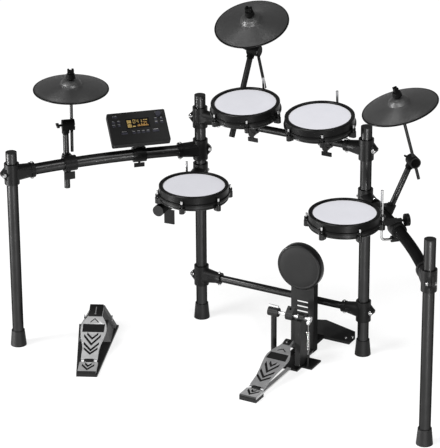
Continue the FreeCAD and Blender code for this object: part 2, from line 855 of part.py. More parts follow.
def save_cymbal(name, low, tip, side, normal, boom_up, boom_down):
    """Write a stand tube with its tilter, a boom rod with its nut, and the cymbal pad."""
    lean = V(tip.sub(low)).normalize()
    tube_top = tip - lean * tilter_back
    tube = pipe(low, tube_top, stand_r, stand_r - stand_wall)
    disc = rod(tip - side * tilter_back, tip + side * tilter_half, tilter_r)
    neck = rod(tip - lean * tilter_neck, tip, tilter_neck_r)
    neck = neck.cut(rod(tip + side * tilter_half, tip + side * 2 * tilter_r, tilter_r + swing_gap))
    bolt_end = tip - side * (tilter_back + tilter_bolt)
    bolt = rod(tip, bolt_end, wing_bolt_r)
    wing = slab(bolt_end - side * tilter_wing_in, lean.cross(side), side, (wing_w, wing_t, tilter_wing_h))
    pin_end = tip + side * (tilter_half + tilter_pin)
    pin = rod(tip, pin_end, pivot_r)
    fixed_half = joined([disc, neck, bolt, wing, pin]).cut(rod(low, tube_top, stand_r + seat_gap))
    hub = tip + side * boom_side
    near = tip + side * (tilter_half + swing_gap)
    boom_half = rod(near, near + side * tilter_boom_t, tilter_r)
    boom_half = boom_half.cut(rod(tip, pin_end + side * tilter_pin_gap, pivot_r + bearing_gap))
    through = normal * (tilter_r + lap)
    boom_half = boom_half.cut(rod(hub - through, hub + through, boom_r + seat_gap))
    rim = hub + normal * boom_up
    seat = frame(rim, side, normal.cross(side), normal)
    nut, nut_top = wing_nut()
    stem = rod(hub - normal * boom_down, rim + normal * nut_top, boom_r)
    collar_top = bell_h - bell_top_t - felt_gap
    collar = pipe(UP * (collar_top - collar_h), UP * collar_top, felt_r, boom_r + seat_gap)
    save(name + "_stand", tube, fixed_half)
    save(name + "_boom", stem, boom_half, placed(collar, seat), placed(nut, seat))
    save(name + "_cymbal", placed(cymbal_pad(), seat))


def stand_clamp(bar_at, bar_axis, bar_r, tube_at, tube_axis, wings=()):
    """A clamp round a bar with a holder for a stand tube beside it."""
    half = tube_axis * (clamp_len / 2)
    holder = rod(tube_at - half, tube_at + half, stand_r + stand_holder_wall)
    bridge = slab((bar_at + tube_at) * 0.5, bar_axis, UP, (bridge_len, tube_at.sub(bar_at).Length, 2 * bar_r))
    clamp = joined([bar_ring(bar_at, bar_axis, bar_r), holder, bridge] + list(wings))
    clamp = clamp.cut(bar_bore(bar_at, bar_axis, bar_r, seat_gap))
    return clamp.cut(rod(tube_at - half * 2, tube_at + half * 2, stand_r + seat_gap))


def tilt_normal(heading, degrees):
    """A unit vector leaning from vertical towards a heading."""
    return at_angle(heading, math.sin(math.radians(degrees))) + UP * math.cos(math.radians(degrees))


hihat_bar, hihat_bar_dir, hihat_out = arm_station(left_arm, hihat_along)
hihat_tube = hihat_bar + hihat_out * stand_aside
crash_bar = V(crash_x, 0, upper_rail_z)
crash_dir = tilt_normal(90, crash_lean)
crash_tube = crash_bar + BACK * stand_aside
ride_bar, ride_bar_dir, ride_out = arm_station(right_arm, ride_along)
ride_dir = tilt_normal(ride_lean_heading, ride_lean)
ride_tube = ride_bar + ride_out * ride_aside


def cymbals():
    """The hi-hat, crash and ride pads on their stands."""
    save_cymbal("hihat", hihat_tube - UP * hihat_stand_low, hihat_tube + UP * hihat_stand_high,
                at_angle(hihat_side), tilt_normal(hihat_tilt_heading, hihat_tilt),
                hihat_boom_up, hihat_boom_down)
    save_cymbal("crash", crash_tube - crash_dir * crash_stand_low, crash_tube + crash_dir * crash_stand_high,
                ACROSS, tilt_normal(-90, crash_tilt), crash_boom_up, crash_boom_down)
    save_cymbal("ride", ride_tube - ride_dir * ride_stand_low, ride_tube + ride_dir * ride_stand_high,
                at_angle(ride_tilt_heading + 90), tilt_normal(ride_tilt_heading, ride_tilt),
                ride_boom_up, ride_boom_down)


# Sound module

module_bar, module_bar_dir = arm_station(left_arm, module_along)[:2]
module_x_dir = at_angle(module_turn)
module_face = tilt_normal(module_turn - 90, module_slope)
module_y_dir = module_face.cross(module_x_dir)
module_centre = module_bar + UP * module_rise
module_frame = frame(module_centre, module_x_dir, module_y_dir, module_face)
module_pivot = module_bar + UP * pivot_rise

# Panel keys as (x, y, width, height), measured from the panel's edges; the row of keys fills the
# space between the two wide ones
panel_right = module_w / 2
panel_top = module_h / 2
screen_y = panel_top - screen_top - screen_h / 2
knob_x = panel_right - knob_edge
knob_y = panel_top - knob_top
key_columns = (key_left_edge - panel_right, key_inner_edge - panel_right,
               panel_right - key_inner_edge, panel_right - key_right_edge)
wide_key_left = wide_key_left_edge - panel_right
wide_key_right = panel_right - wide_key_right_edge
row_key_pitch = (wide_key_right - wide_key_left) / (row_key_count + row_key_ends)
row_key_start = ((wide_key_left + wide_key_right) / 2 + row_key_shift
                 - row_key_pitch * (row_key_count - 1) / 2)
panel_keys = (
    [(power_key_edge - panel_right, panel_top - power_key_top, power_key_w, power_key_h)]
    + [(x, panel_top - y, key_w, key_h) for x in key_columns for y in (key_upper_top, key_lower_top)]
    + [(x, panel_top - wide_key_top, wide_key_w, wide_key_h) for x in (wide_key_left, wide_key_right)]
    + [(row_key_start + index * row_key_pitch, panel_top - row_key_top,
        row_key_pitch - row_key_gap, row_key_h) for index in range(row_key_count)]
)


def module():
    """The sound module: case, panel, buttons, knob and board, on a tilting lug."""
    half_w = module_w / 2
    half_h = module_h / 2
    outer = Part.makeBox(module_w, module_h, module_t, V(-half_w, -half_h, -module_t))
    long_edges = [e for e in outer.Edges if e.BoundBox.ZLength > module_t / 2]
    outer = outer.makeFillet(module_round, long_edges)
    back_edges = [e for e in outer.Edges if e.BoundBox.ZMax < -module_t / 2]
    outer = outer.makeChamfer(module_chamfer, back_edges)
    cavity = Part.makeBox(module_w - 2 * module_wall, module_h - 2 * module_wall, module_t - module_wall,
                          V(-half_w + module_wall, -half_h + module_wall, -module_t + module_wall))
    case = outer.cut(cavity)
    posts = []
    for x in (-1, 1):
        for y in (-1, 1):
            inset = board_margin + board_post_in
            spot = V(x * (half_w - inset), y * (half_h - inset), -module_t + lap)
            posts.append(rod(spot, V(spot.x, spot.y, -board_depth - board_t), board_post_r))
    case = joined([case] + posts)
    local_pivot = module_frame.inverse().multVec(module_pivot)
    lug_half = ACROSS * (pivot_lug_w / 2)
    lug_round = rod(local_pivot - lug_half, local_pivot + lug_half, pivot_lug_r)
    lug_root = V(0, local_pivot.y, -module_t + lap)
    lug_mid = (local_pivot + lug_root) * 0.5
    lug_block = slab(lug_mid, ACROSS, UP, (pivot_lug_w, 2 * pivot_lug_r, lug_root.z - local_pivot.z))
    case = joined([case, lug_round, lug_block])
    case = case.cut(rod(local_pivot - ACROSS * pivot_lug_w, local_pivot + ACROSS * pivot_lug_w,
                        pivot_r + bearing_gap))
    inset = module_wall + seat_gap
    panel = Part.makeBox(module_w - 2 * inset, module_h - 2 * inset, module_panel_t,
                         V(-half_w + inset, -half_h + inset, -module_panel_t))
    screen = Part.makeBox(screen_w, screen_h, screen_recess,
                          V(screen_x - screen_w / 2, screen_y - screen_h / 2, -screen_recess))
    panel = panel.cut(screen)
    buttons = []
    for x, y, width, height in panel_keys:
        corner = V(x - width / 2 - button_gap, y - height / 2 - button_gap, -module_panel_t - lap)
        window = Part.makeBox(width + 2 * button_gap, height + 2 * button_gap, module_panel_t + 2 * lap,
                              corner)
        panel = panel.cut(window)
        buttons.append(Part.makeBox(width, height, button_proud + button_depth,
                                    V(x - width / 2, y - height / 2, -button_depth)))
    panel = panel.cut(rod(V(knob_x, knob_y, -module_panel_t - lap), V(knob_x, knob_y, lap),
                          knob_shaft_r + bearing_gap))
    shaft_low = -board_depth + swing_gap
    knob = joined([
        rod(V(knob_x, knob_y, swing_gap), V(knob_x, knob_y, knob_h), knob_r),
        rod(V(knob_x, knob_y, shaft_low), V(knob_x, knob_y, swing_gap), knob_shaft_r),
    ])
    board = Part.makeBox(module_w - 2 * board_margin, module_h - 2 * board_margin, board_t,
                         V(-half_w + board_margin, -half_h + board_margin, -board_depth - board_t))
    save("module_case", placed(case, module_frame))
    save("module_panel", placed(panel, module_frame))
    save("module_buttons", *[placed(b, module_frame) for b in buttons])
    save("module_knob", placed(knob, module_frame))
    save("module_board", placed(board, module_frame))


def module_clamp():
    """The clamp on the side arm with two ears and the pin that the module tilts on."""
    blank = bar_ring(module_bar, module_bar_dir, arm_r)
    pieces = [blank]
    reach = pivot_lug_w / 2 + swing_gap
    for sign in (-1, 1):
        near = module_pivot + module_x_dir * (sign * reach)
        far = module_pivot + module_x_dir * (sign * (reach + pivot_ear_w))
        pieces.append(rod(near, far, pivot_ear_r))
        ear_tall = pivot_rise - pivot_ear_foot
        block_mid = (near + far) * 0.5 - UP * (ear_tall / 2)
        pieces.append(slab(block_mid, module_x_dir, UP, (pivot_ear_w, 2 * pivot_ear_r, ear_tall)))
    end = module_x_dir * (reach + pivot_ear_w)
    pieces.append(rod(module_pivot - end, module_pivot + end, pivot_r))
    under = module_bar - UP * (arm_r + clamp_wall - lap)
    pieces.append(wing_bolt(under, UP.negative(), module_bar_dir, wing_h))
    return joined(pieces).cut(bar_bore(module_bar, module_bar_dir, arm_r, seat_gap))


# Kick tower


def kick():
    """A bent sheet tower on a rear foot, with its round rubber pad."""
    left = kick_x - kick_plate_w / 2
    plate = Part.makeBox(kick_plate_w, kick_plate_t, kick_plate_h, V(left, kick_front, 0))
    for index in range(kick_slot_count):
        z = kick_slot_z + index * kick_slot_pitch
        corner = V(kick_x - kick_slot_w / 2, kick_front - kick_plate_t, z - kick_slot_h / 2)
        plate = plate.cut(Part.makeBox(kick_slot_w, 3 * kick_plate_t, kick_slot_h, corner))
    flanges = [
        Part.makeBox(kick_plate_t, kick_flange, kick_plate_h, V(x, kick_front, 0))
        for x in (left, left + kick_plate_w - kick_plate_t)
    ]
    spine = Part.makeBox(kick_spine_w, kick_foot_far - kick_front, kick_spine_h,
                         V(kick_x - kick_spine_w / 2, kick_front, 0))
    lip = Part.makeBox(kick_lip_w, kick_lip_reach + lap, frame_base_t - seat_gap,
                       V(kick_x - kick_lip_w / 2, kick_front - kick_lip_reach, 0))
    sections = []
    for offset, height in ((-kick_foot_span / 2, kick_foot_end_h), (0, kick_foot_mid_h),
                           (kick_foot_span / 2, kick_foot_end_h)):
        x = kick_x + kick_foot_aside + offset
        corners = [V(x, kick_foot_near, 0), V(x, kick_foot_near, kick_foot_lip),
                   V(x, kick_foot_far, height), V(x, kick_foot_far, 0)]
        sections.append(Part.makePolygon(corners + [corners[0]]))
    foot = Part.makeLoft(sections, True, True)
    save("kick_tower", joined([plate] + flanges + [spine, lip, foot]))
    disc = turned([
        (0, 0), (kick_pad_r, 0), (kick_pad_r, kick_pad_t - kick_pad_round),
        (kick_pad_r - kick_pad_round, kick_pad_t), (0, kick_pad_t),
    ])
    facing = frame(V(kick_x, kick_front, kick_pad_z), ACROSS, UP, BACK.negative())
    save("kick_pad", placed(disc, facing))


# Pedals

kick_pedal = FreeCAD.Placement(V(kick_pedal_x, kick_pedal_y, 0), FreeCAD.Rotation(UP, kick_pedal_turn))
hihat_pedal = FreeCAD.Placement(V(hihat_pedal_x, hihat_pedal_y, 0), FreeCAD.Rotation(UP, hihat_pedal_turn))


def footboard(length, hinge_y, outline_half):
    """The hinged board: wide at the ball of the foot, a narrow neck at the toe."""
    half_points = [(outline_half[0][0], pedal_board_start)]
    half_points += [(half, length - back) for half, back in outline_half]
    half_points.append((outline_half[-1][0], length))
    under = hinge_z - pedal_board_under
    outline = [V(x, hinge_y + y, under) for x, y in half_points]
    outline += [V(-x, hinge_y + y, under) for x, y in reversed(half_points)]
    pieces = [prism(outline, UP * (pedal_board_under + pedal_board_over))]
    for sign in (-1, 1):
        inner = sign * (knuckle_w / 2 + knuckle_gap)
        outer = sign * hinge_half
        pieces.append(rod(V(inner, hinge_y, hinge_z), V(outer, hinge_y, hinge_z), hinge_r))
        pieces.append(slab(V((inner + outer) / 2, hinge_y + pedal_board_start / 2 + lap, hinge_z), ACROSS, UP,
                           (abs(outer - inner), pedal_board_start + 2 * lap, hinge_r)))
    body = joined(pieces)
    past = hinge_half + lap
    body = body.cut(rod(V(-past, hinge_y, hinge_z), V(past, hinge_y, hinge_z), hinge_pin_r + bearing_gap))
    return tilted(body, V(0, hinge_y, hinge_z), ACROSS, board_slope)


def heel_plate(hinge_y):
    """The fixed heel plate with the middle knuckle and the hinge pin."""
    heel_len = hinge_y - heel_back
    plate = Part.makeBox(heel_w, heel_len, heel_plate_t, V(-heel_w / 2, 0, heel_block_h))
    knuckle = rod(V(-knuckle_w / 2, hinge_y, hinge_z), V(knuckle_w / 2, hinge_y, hinge_z), hinge_r)
    web = slab(V(0, hinge_y - heel_back / 2, hinge_z), ACROSS, UP, (knuckle_w, heel_back + 2 * lap, hinge_r))
    pin = rod(V(-hinge_half, hinge_y, hinge_z), V(hinge_half, hinge_y, hinge_z), hinge_pin_r)
    bevel = slab(V(0, 0, heel_block_h + heel_plate_t), ACROSS, V(0, -1, 1).normalize(),
                 (heel_w + 2 * lap, heel_bevel_w, heel_bevel_t))
    return joined([plate, knuckle, web, pin]).cut(bevel)


def heel_block(hinge_y):
    return Part.makeBox(heel_w, hinge_y - heel_back, heel_block_h, V(-heel_w / 2, 0, 0))


def drive_strap():
    """The slim strap from the toe up to the drum side of the hub."""
    slope = math.radians(board_slope)
    toe = kick_board_len - strap_t
    low = V(strap_x + strap_w / 2, kick_hinge_y + toe * math.cos(slope) - pedal_board_over * math.sin(slope),
            hinge_z + toe * math.sin(slope) + pedal_board_over * math.cos(slope))
    high = V(low.x, axle_y + strap_top_back, axle_z)
    run = V(high.sub(low)).normalize()
    return slab((low + high) * 0.5, ACROSS, run, (strap_w, strap_t, high.sub(low).Length))


def kick_frame():
    """Base plate, tie rods, heel block and the two columns that carry the axle."""
    base = prism([
        V(-frame_base_half, frame_base_near, 0), V(frame_base_step_x, frame_base_near, 0),
        V(frame_base_step_x, frame_base_step_y, 0), V(frame_base_half, frame_base_step_y, 0),
        V(frame_base_half, frame_base_far, 0), V(-frame_base_half, frame_base_far, 0),
    ], UP * frame_base_t)
    tongue = Part.makeBox(2 * frame_tongue_half, frame_tongue_far - frame_base_far + lap, frame_base_t,
                          V(-frame_tongue_half, frame_base_far - lap, 0))
    jaw = Part.makeBox(2 * frame_tongue_half, frame_jaw_far - frame_jaw_near, frame_jaw_t,
                       V(-frame_tongue_half, frame_jaw_near, frame_base_t))
    tie_start = kick_hinge_y - 2 * heel_back
    tie_len = frame_base_near + tie_lap - tie_start
    ties = [
        Part.makeBox(tie_w, tie_len, tie_t, V(x - tie_w / 2, tie_start, tie_low))
        for x in (-tie_x, tie_x)
    ]
    sunk = frame_base_t - lap
    left = rod(V(left_column_x, axle_y, sunk), V(left_column_x, axle_y, axle_z), left_column_r)
    left_bearing = rod(V(left_column_x - left_bearing_w / 2, axle_y, axle_z),
                       V(left_column_x + left_bearing_w / 2, axle_y, axle_z), left_bearing_r)
    wing = slab(V(left_column_x, axle_y, axle_z + left_bearing_r + column_wing_rise), ACROSS, UP,
                (wing_w, wing_t, column_wing_h))
    foot_half = right_column_foot / 2
    top_half = right_column_top / 2
    outline = [
        V(right_column_near, axle_y - foot_half + right_column_shift, sunk),
        V(right_column_near, axle_y + foot_half + right_column_shift, sunk),
        V(right_column_near, axle_y + top_half, axle_z),
        V(right_column_near, axle_y - top_half, axle_z),
    ]
    right = prism(outline, ACROSS * (right_column_far - right_column_near))
    right_bearing = rod(V(right_column_near, axle_y, axle_z), V(right_column_far, axle_y, axle_z),
                        right_bearing_r)
    spring_y = axle_y - lever_reach
    stud_foot = V(lever_x, spring_y, sunk)
    stud_top = spring_low - spring_hook - spring_tail - seat_gap
    stud = rod(stud_foot, V(lever_x, spring_y, stud_top), tension_r)
    nut = rod(stud_foot, V(lever_x, spring_y, frame_base_t + tension_nut_h), tension_nut_r)
    plates = [base, tongue, jaw, heel_block(kick_hinge_y)] + ties
    body = joined(plates + [left, left_bearing, wing, right, right_bearing, stud, nut])
    return body.cut(rod(V(axle_left - lap, axle_y, axle_z), V(right_column_far + lap, axle_y, axle_z),
                        axle_r + bearing_gap))


def kick_axle():
    """The axle with its beater hub and the lever that the spring pulls."""
    shaft = rod(V(axle_left, axle_y, axle_z), V(axle_right, axle_y, axle_z), axle_r)
    hub = rod(V(hub_x - hub_w / 2, axle_y, axle_z), V(hub_x + hub_w / 2, axle_y, axle_z), hub_r)
    # The beater's socket leans back to the player at rest and stands upright at the end of the stroke
    middle = V(hub_x, axle_y, axle_z)
    block = slab(middle + BACK * (hub_block_back / 2), ACROSS, UP, (hub_w, hub_block_back, 2 * hub_r))
    block = tilted(block, middle, ACROSS, hub_lean)
    bore_half = UP * (hub_r + lap)
    bore_at = middle + BACK * beater_bore_back
    bore = tilted(rod(bore_at - bore_half, bore_at + bore_half, beater_bore_r), middle, ACROSS, hub_lean)
    eye = V(lever_x, axle_y - lever_reach, axle_z - lever_drop)
    lever_root = V(lever_x, axle_y, axle_z)
    arm = slab((lever_root + eye) * 0.5, ACROSS, V(eye.sub(lever_root)).normalize(),
               (lever_w, 2 * lever_r, math.hypot(lever_reach, lever_drop)))
    boss = rod(V(lever_x - lever_w / 2, axle_y, axle_z), V(lever_x + lever_w / 2, axle_y, axle_z),
               axle_r + lever_boss)
    tip = rod(V(lever_x - lever_w / 2, eye.y, eye.z), V(lever_x + lever_w / 2, eye.y, eye.z), lever_r)
    return joined([shaft, hub, block, arm, boss, tip]).cut(bore)


def kick_spring():
    """One unbroken wire: a straight tail, the coil in biarcs of a quarter turn, a straight tail."""
    axis = V(lever_x, axle_y - lever_reach, 0)
    climb = spring_pitch / (2 * math.pi)
    last = 2 * math.pi * spring_turns

    def on_coil(angle):
        return axis + at_angle(math.degrees(angle), spring_coil_r) + UP * (spring_low + climb * angle)

    def heading(angle):
        return V(-spring_coil_r * math.sin(angle), spring_coil_r * math.cos(angle), climb).normalize()

    low_bend = axis + UP * (spring_low - spring_hook)
    low_end = low_bend - UP * spring_tail
    high_bend = axis + UP * (spring_low + climb * last + spring_hook)
    high_end = axis + UP * (axle_z - lever_drop - lever_r - swing_gap)
    edges = [Part.LineSegment(low_end, low_bend).toShape()]
    edges += biarc(low_bend, UP, on_coil(0), heading(0))
    for index in range(4 * spring_turns):
        start = index * math.pi / 2
        end = start + math.pi / 2
        edges += biarc(on_coil(start), heading(start), on_coil(end), heading(end))
    edges += biarc(on_coil(last), heading(last), high_bend, UP)
    edges.append(Part.LineSegment(high_bend, high_end).toShape())
    ring = Part.Wire(Part.makeCircle(spring_wire_r, low_end, UP))
    wire = Part.Wire(edges).makePipeShell([ring], True, False)
    per_turn = 40
    points = [on_coil(2 * math.pi * i / per_turn) for i in range(per_turn * spring_turns)]
    pairs = [(i, j) for i in range(len(points)) for j in range(i + per_turn // 2, len(points))]
    least = min(points[i].sub(points[j]).Length for i, j in pairs) - 2 * spring_wire_r
    bends = [e.Curve.Radius for e in edges if e.Curve.TypeId == "Part::GeomCircle"]
    print("spring: least gap to itself", round(least, 2), "tightest bend", round(min(bends), 2))
    return wire


def biarc(start, start_dir, end, end_dir):
    """Two tangent arcs between two points with given directions."""
    chord = end.sub(start)
    both = start_dir + end_dir
    b = chord.dot(both)
    a = 2 * (1 - start_dir.dot(end_dir))
    d = (-b + math.sqrt(b * b + a * chord.dot(chord))) / a
    first = start + start_dir * d
    last = end - end_dir * d
    middle = (first + last) * 0.5
    return [tangent_arc(start, start_dir, middle), tangent_arc(middle, V(last.sub(first)).normalize(), end)]


def tangent_arc(start, direction, end):
    """An arc from a point in a direction to another point."""
    chord = end.sub(start)
    normal = direction.cross(chord).cross(direction).normalize()
    radius = chord.dot(chord) / (2 * chord.dot(normal))
    centre = start + normal * radius
    half = (start + end) * 0.5
    crown = centre + V(half.sub(centre)).normalize() * radius
    return Part.Arc(start, crown, end).toShape()


def hihat_base():
    """A wedge-shaped base with a heel block, a hipped rise and a tapered housing behind the toe."""
    outline = [V(-base_half_heel, 0, 0), V(base_half_heel, 0, 0),
               V(base_half_toe, base_len, 0), V(-base_half_toe, base_len, 0)]
    plate = prism(outline, UP * base_t)
    face = [
        V(-housing_foot_half, housing_near, base_t - lap), V(housing_foot_half, housing_near, base_t - lap),
        V(housing_top_half, housing_near, housing_h), V(-housing_top_half, housing_near, housing_h),
    ]
    housing = prism(face, BACK * (base_len - housing_near))
    hip_face = [
        V(-hip_foot_half, hip_near, base_t - lap), V(hip_foot_half, hip_near, base_t - lap),
        V(hip_top_half, hip_near, hip_h), V(-hip_top_half, hip_near, hip_h),
    ]
    hip = prism(hip_face, BACK * (housing_near + lap - hip_near))
    hip_slope = V(0, base_t - hip_h, hip_run).normalize()
    front = V(0, hip_near, base_t) + hip_slope * (hip_h / 2)
    hip = hip.cut(slab(front, ACROSS, hip_slope, (2 * (hip_foot_half + lap), 4 * hip_h, hip_h)))
    return joined([plate, heel_block(hihat_hinge_y), housing, hip])


def pedals():
    """Both pedals, each carried into its place."""
    save("kick_pedal_frame", placed(kick_frame(), kick_pedal))
    kick_board = footboard(kick_board_len, kick_hinge_y, kick_board_half)
    hihat_board = footboard(hihat_board_len, hihat_hinge_y, hihat_board_half)
    save("kick_footboard", placed(kick_board, kick_pedal), placed(drive_strap(), kick_pedal))
    save("kick_axle", placed(kick_axle(), kick_pedal))
    save("kick_spring", placed(kick_spring(), kick_pedal))
    save("hihat_pedal_base", placed(hihat_base(), hihat_pedal))
    save("hihat_footboard", placed(hihat_board, hihat_pedal))
    save("pedal_heel_plates", placed(heel_plate(kick_hinge_y), kick_pedal),
         placed(heel_plate(hihat_hinge_y), hihat_pedal))


def rack():
    """Posts, feet, caps, rails, side arms and every clamp that stays with them."""
    inner = (left_inner, right_inner)
    save("inner_posts", *[post_tube(p, inner_post_top) for p in inner])
    save("inner_post_ends", *[post_foot(p) for p in inner], *[post_cap(p, inner_post_top) for p in inner])
    for name, post in (("left_outer_post", left_outer), ("right_outer_post", right_outer)):
        save(name, post_tube(post, outer_post_top))
        save(name + "_ends", post_foot(post), post_cap(post, outer_post_top))
    rail_half = ACROSS * (inner_post_x - bar_start)
    rails = [pipe(UP * z - rail_half, UP * z + rail_half, rail_r, rail_r - tube_wall)
             for z in (upper_rail_z, lower_rail_z)]
    save("cross_rails", *rails)
    arm = left_inner + UP * snare_arm_z
    arm_start = arm + snare_along * bar_start
    arm_end = arm + snare_along * snare_arm_reach
    lid_start = arm_end - snare_along * cap_t
    lid = rod(lid_start, arm_end, arm_r)
    plug = rod(lid_start - snare_along * plug_h, lid_start, arm_r - tube_wall - seat_gap)
    save("snare_arm", pipe(arm_start, lid_start, arm_r, arm_r - tube_wall), lid.fuse(plug))
    save("left_arm_tube", arm_tube(left_arm))
    save("right_arm_tube", arm_tube(right_arm))
    clamps = [tee_clamp(left_inner, snare_arm_z, snare_along, arm_r, seat_gap)]
    for z in (upper_rail_z, lower_rail_z):
        clamps.append(tee_clamp(left_inner, z, ACROSS, rail_r, seat_gap))
        clamps.append(tee_clamp(right_inner, z, ACROSS.negative(), rail_r, seat_gap))
    clamps.append(stand_clamp(crash_bar, ACROSS, rail_r, crash_tube, crash_dir))
    save("rack_clamps", *clamps)
    under = hihat_bar - UP * (arm_r + clamp_wall - lap)
    hihat_wing = wing_bolt(under, UP.negative(), hihat_bar_dir, hihat_wing_h)
    save("left_arm_clamps",
         tee_clamp(left_inner, left_arm_z, left_arm["first"], arm_r, swing_gap),
         tee_clamp(left_outer, left_arm_z, left_arm["last"].negative(), arm_r, seat_gap),
         stand_clamp(hihat_bar, hihat_bar_dir, arm_r, hihat_tube, UP, [hihat_wing]),
         module_clamp())
    save("right_arm_clamps",
         tee_clamp(right_inner, right_arm_z, right_arm["first"], arm_r, swing_gap),
         tee_clamp(right_outer, right_arm_z, right_arm["last"].negative(), arm_r, seat_gap),
         stand_clamp(ride_bar, ride_bar_dir, arm_r, ride_tube, ride_dir))


def main():
    os.makedirs("parts", exist_ok=True)
    rack()
    tom("tom_1", tom_1_x)
    tom("tom_2", tom_2_x)
    snare()
    floor_tom()
    cymbals()
    module()
    kick()
    pedals()


main()
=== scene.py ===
import json
import math
import bpy
from mathutils import Matrix, Vector


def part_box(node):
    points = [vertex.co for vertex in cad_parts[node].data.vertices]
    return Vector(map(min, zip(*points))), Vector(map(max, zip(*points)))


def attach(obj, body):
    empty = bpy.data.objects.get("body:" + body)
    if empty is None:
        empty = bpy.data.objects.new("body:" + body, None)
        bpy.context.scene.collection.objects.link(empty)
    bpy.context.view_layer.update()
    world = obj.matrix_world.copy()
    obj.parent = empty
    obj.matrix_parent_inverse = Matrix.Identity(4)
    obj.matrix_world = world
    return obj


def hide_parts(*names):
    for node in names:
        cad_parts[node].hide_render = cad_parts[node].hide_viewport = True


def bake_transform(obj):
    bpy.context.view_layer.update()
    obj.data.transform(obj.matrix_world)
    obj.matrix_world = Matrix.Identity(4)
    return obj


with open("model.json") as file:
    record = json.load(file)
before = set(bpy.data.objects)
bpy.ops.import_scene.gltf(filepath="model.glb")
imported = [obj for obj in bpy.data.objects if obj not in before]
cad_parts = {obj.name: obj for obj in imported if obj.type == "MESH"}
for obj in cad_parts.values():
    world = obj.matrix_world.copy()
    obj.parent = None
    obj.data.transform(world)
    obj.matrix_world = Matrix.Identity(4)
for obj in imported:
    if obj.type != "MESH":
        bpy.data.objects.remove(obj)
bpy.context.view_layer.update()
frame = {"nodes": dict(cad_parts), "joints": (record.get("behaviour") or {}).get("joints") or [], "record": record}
nodes = frame["nodes"]
joints = {joint["name"]: joint for joint in frame["joints"]}
mm = 0.001
up = Vector((0, 0, 1))
across = Vector((1, 0, 0))
print("frame loaded,", len(nodes), "nodes")


# working by hand: selection, edit mode, modifiers, placing

weld = {"ring": 1e-6, "node": 2e-6, "spring": 1e-7}
flatAngle = 0.3  # degrees: a copied node's triangles merge into faces below this
crisp = 30  # degrees: sharper edges stay sharp on small hardware


def pickNone():
    bpy.ops.object.select_all(action="DESELECT")


def pickOnly(piece):
    pickNone()
    piece.select_set(True)
    bpy.context.view_layer.objects.active = piece


def named(name):
    piece = bpy.context.object
    piece.name = name
    piece.data.name = name
    return piece


def editAll():
    bpy.ops.object.mode_set(mode="EDIT")
    bpy.ops.mesh.select_all(action="SELECT")


def leaveEdit():
    bpy.ops.object.mode_set(mode="OBJECT")


def turnOutwards():
    # the last step in edit mode
    bpy.ops.mesh.select_all(action="SELECT")
    bpy.ops.mesh.normals_make_consistent(inside=False)
    leaveEdit()


def drawOut(x, y, z):
    bpy.ops.mesh.extrude_region_move(TRANSFORM_OT_translate={"value": (x, y, z)})


def cleanMesh(piece, reach):
    # one skin with its faces pointing outwards
    pickOnly(piece)
    editAll()
    bpy.ops.mesh.remove_doubles(threshold=reach)
    turnOutwards()


def applyModifier(piece, kind, settings):
    pickOnly(piece)
    modifier = piece.modifiers.new(kind.lower(), kind)
    for key, value in settings.items():
        setattr(modifier, key, value)
    bpy.ops.object.modifier_apply(modifier=modifier.name)


def joinPieces(pieces, name):
    pickOnly(pieces[0])
    for piece in pieces[1:]:
        piece.select_set(True)
    if len(pieces) > 1:
        bpy.ops.object.join()
    return named(name)


def copyOf(piece, name, place=None):
    copy = piece.copy()
    copy.data = piece.data.copy()
    copy.name = name
    bpy.context.scene.collection.objects.link(copy)
    if place is not None:
        copy.data.transform(place)
    return copy


def copyOfNode(nodeName, name):
    # the CAD node's skin, merged from loose triangles, as a piece of its own
    copy = copyOf(nodes[nodeName], name)
    for key in list(copy.keys()):
        del copy[key]
    copy.parent = None
    copy.matrix_world = Matrix.Identity(4)
    cleanMesh(copy, weld["node"])
    editAll()
    bpy.ops.mesh.dissolve_limited(angle_limit=math.radians(flatAngle))
    leaveEdit()
    return copy


def axes(origin, xDir, zDir):
    # a frame with its Z along zDir and its X as near xDir as that allows
    z = Vector(zDir).normalized()
    x = Vector(xDir)
    x = (x - z * x.dot(z)).normalized()
    place = Matrix((x, z.cross(x), z)).transposed().to_4x4()
    place.translation = Vector(origin)
    return place


def addCircle(name, sides, radius, place=(0, 0, 0), lean=0.0, fill="NOTHING"):
    pickNone()
    bpy.ops.mesh.primitive_circle_add(vertices=sides, radius=radius, fill_type=fill, location=place,
                                      rotation=(lean, 0, 0))
    piece = named(name)
    bpy.ops.object.transform_apply()
    return piece


def turnedPiece(name, steps, sides, filled=True):
    # a circle drawn up and in or out, ring by ring: steps are (radius, height) in mm
    rings = [(radius * mm, height * mm) for radius, height in steps]
    radius, height = rings[0]
    piece = addCircle(name, sides, radius, (0, 0, height))
    editAll()
    for nextRadius, nextHeight in rings[1:]:
        drawOut(0, 0, nextHeight - height)
        share = nextRadius / radius
        bpy.ops.transform.resize(value=(share, share, 1), center_override=(0, 0, nextHeight))
        radius, height = nextRadius, nextHeight
    bpy.ops.mesh.select_all(action="SELECT")
    bpy.ops.mesh.remove_doubles(threshold=weld["ring"])
    if filled:
        bpy.ops.mesh.fill_holes(sides=0)
    turnOutwards()
    return piece


def rodPiece(name, radius, length, sides):
    return turnedPiece(name, ((radius, 0), (radius, length)), sides)


def outlinePiece(name, points, low, high):
    # a flat outline of a few corners in mm, drawn up into a plate
    piece = addCircle(name, len(points), 1, fill="NGON")
    for vertex, (x, y) in zip(piece.data.vertices, points):
        vertex.co = Vector((x, y, low)) * mm
    editAll()
    drawOut(0, 0, (high - low) * mm)
    turnOutwards()
    return piece


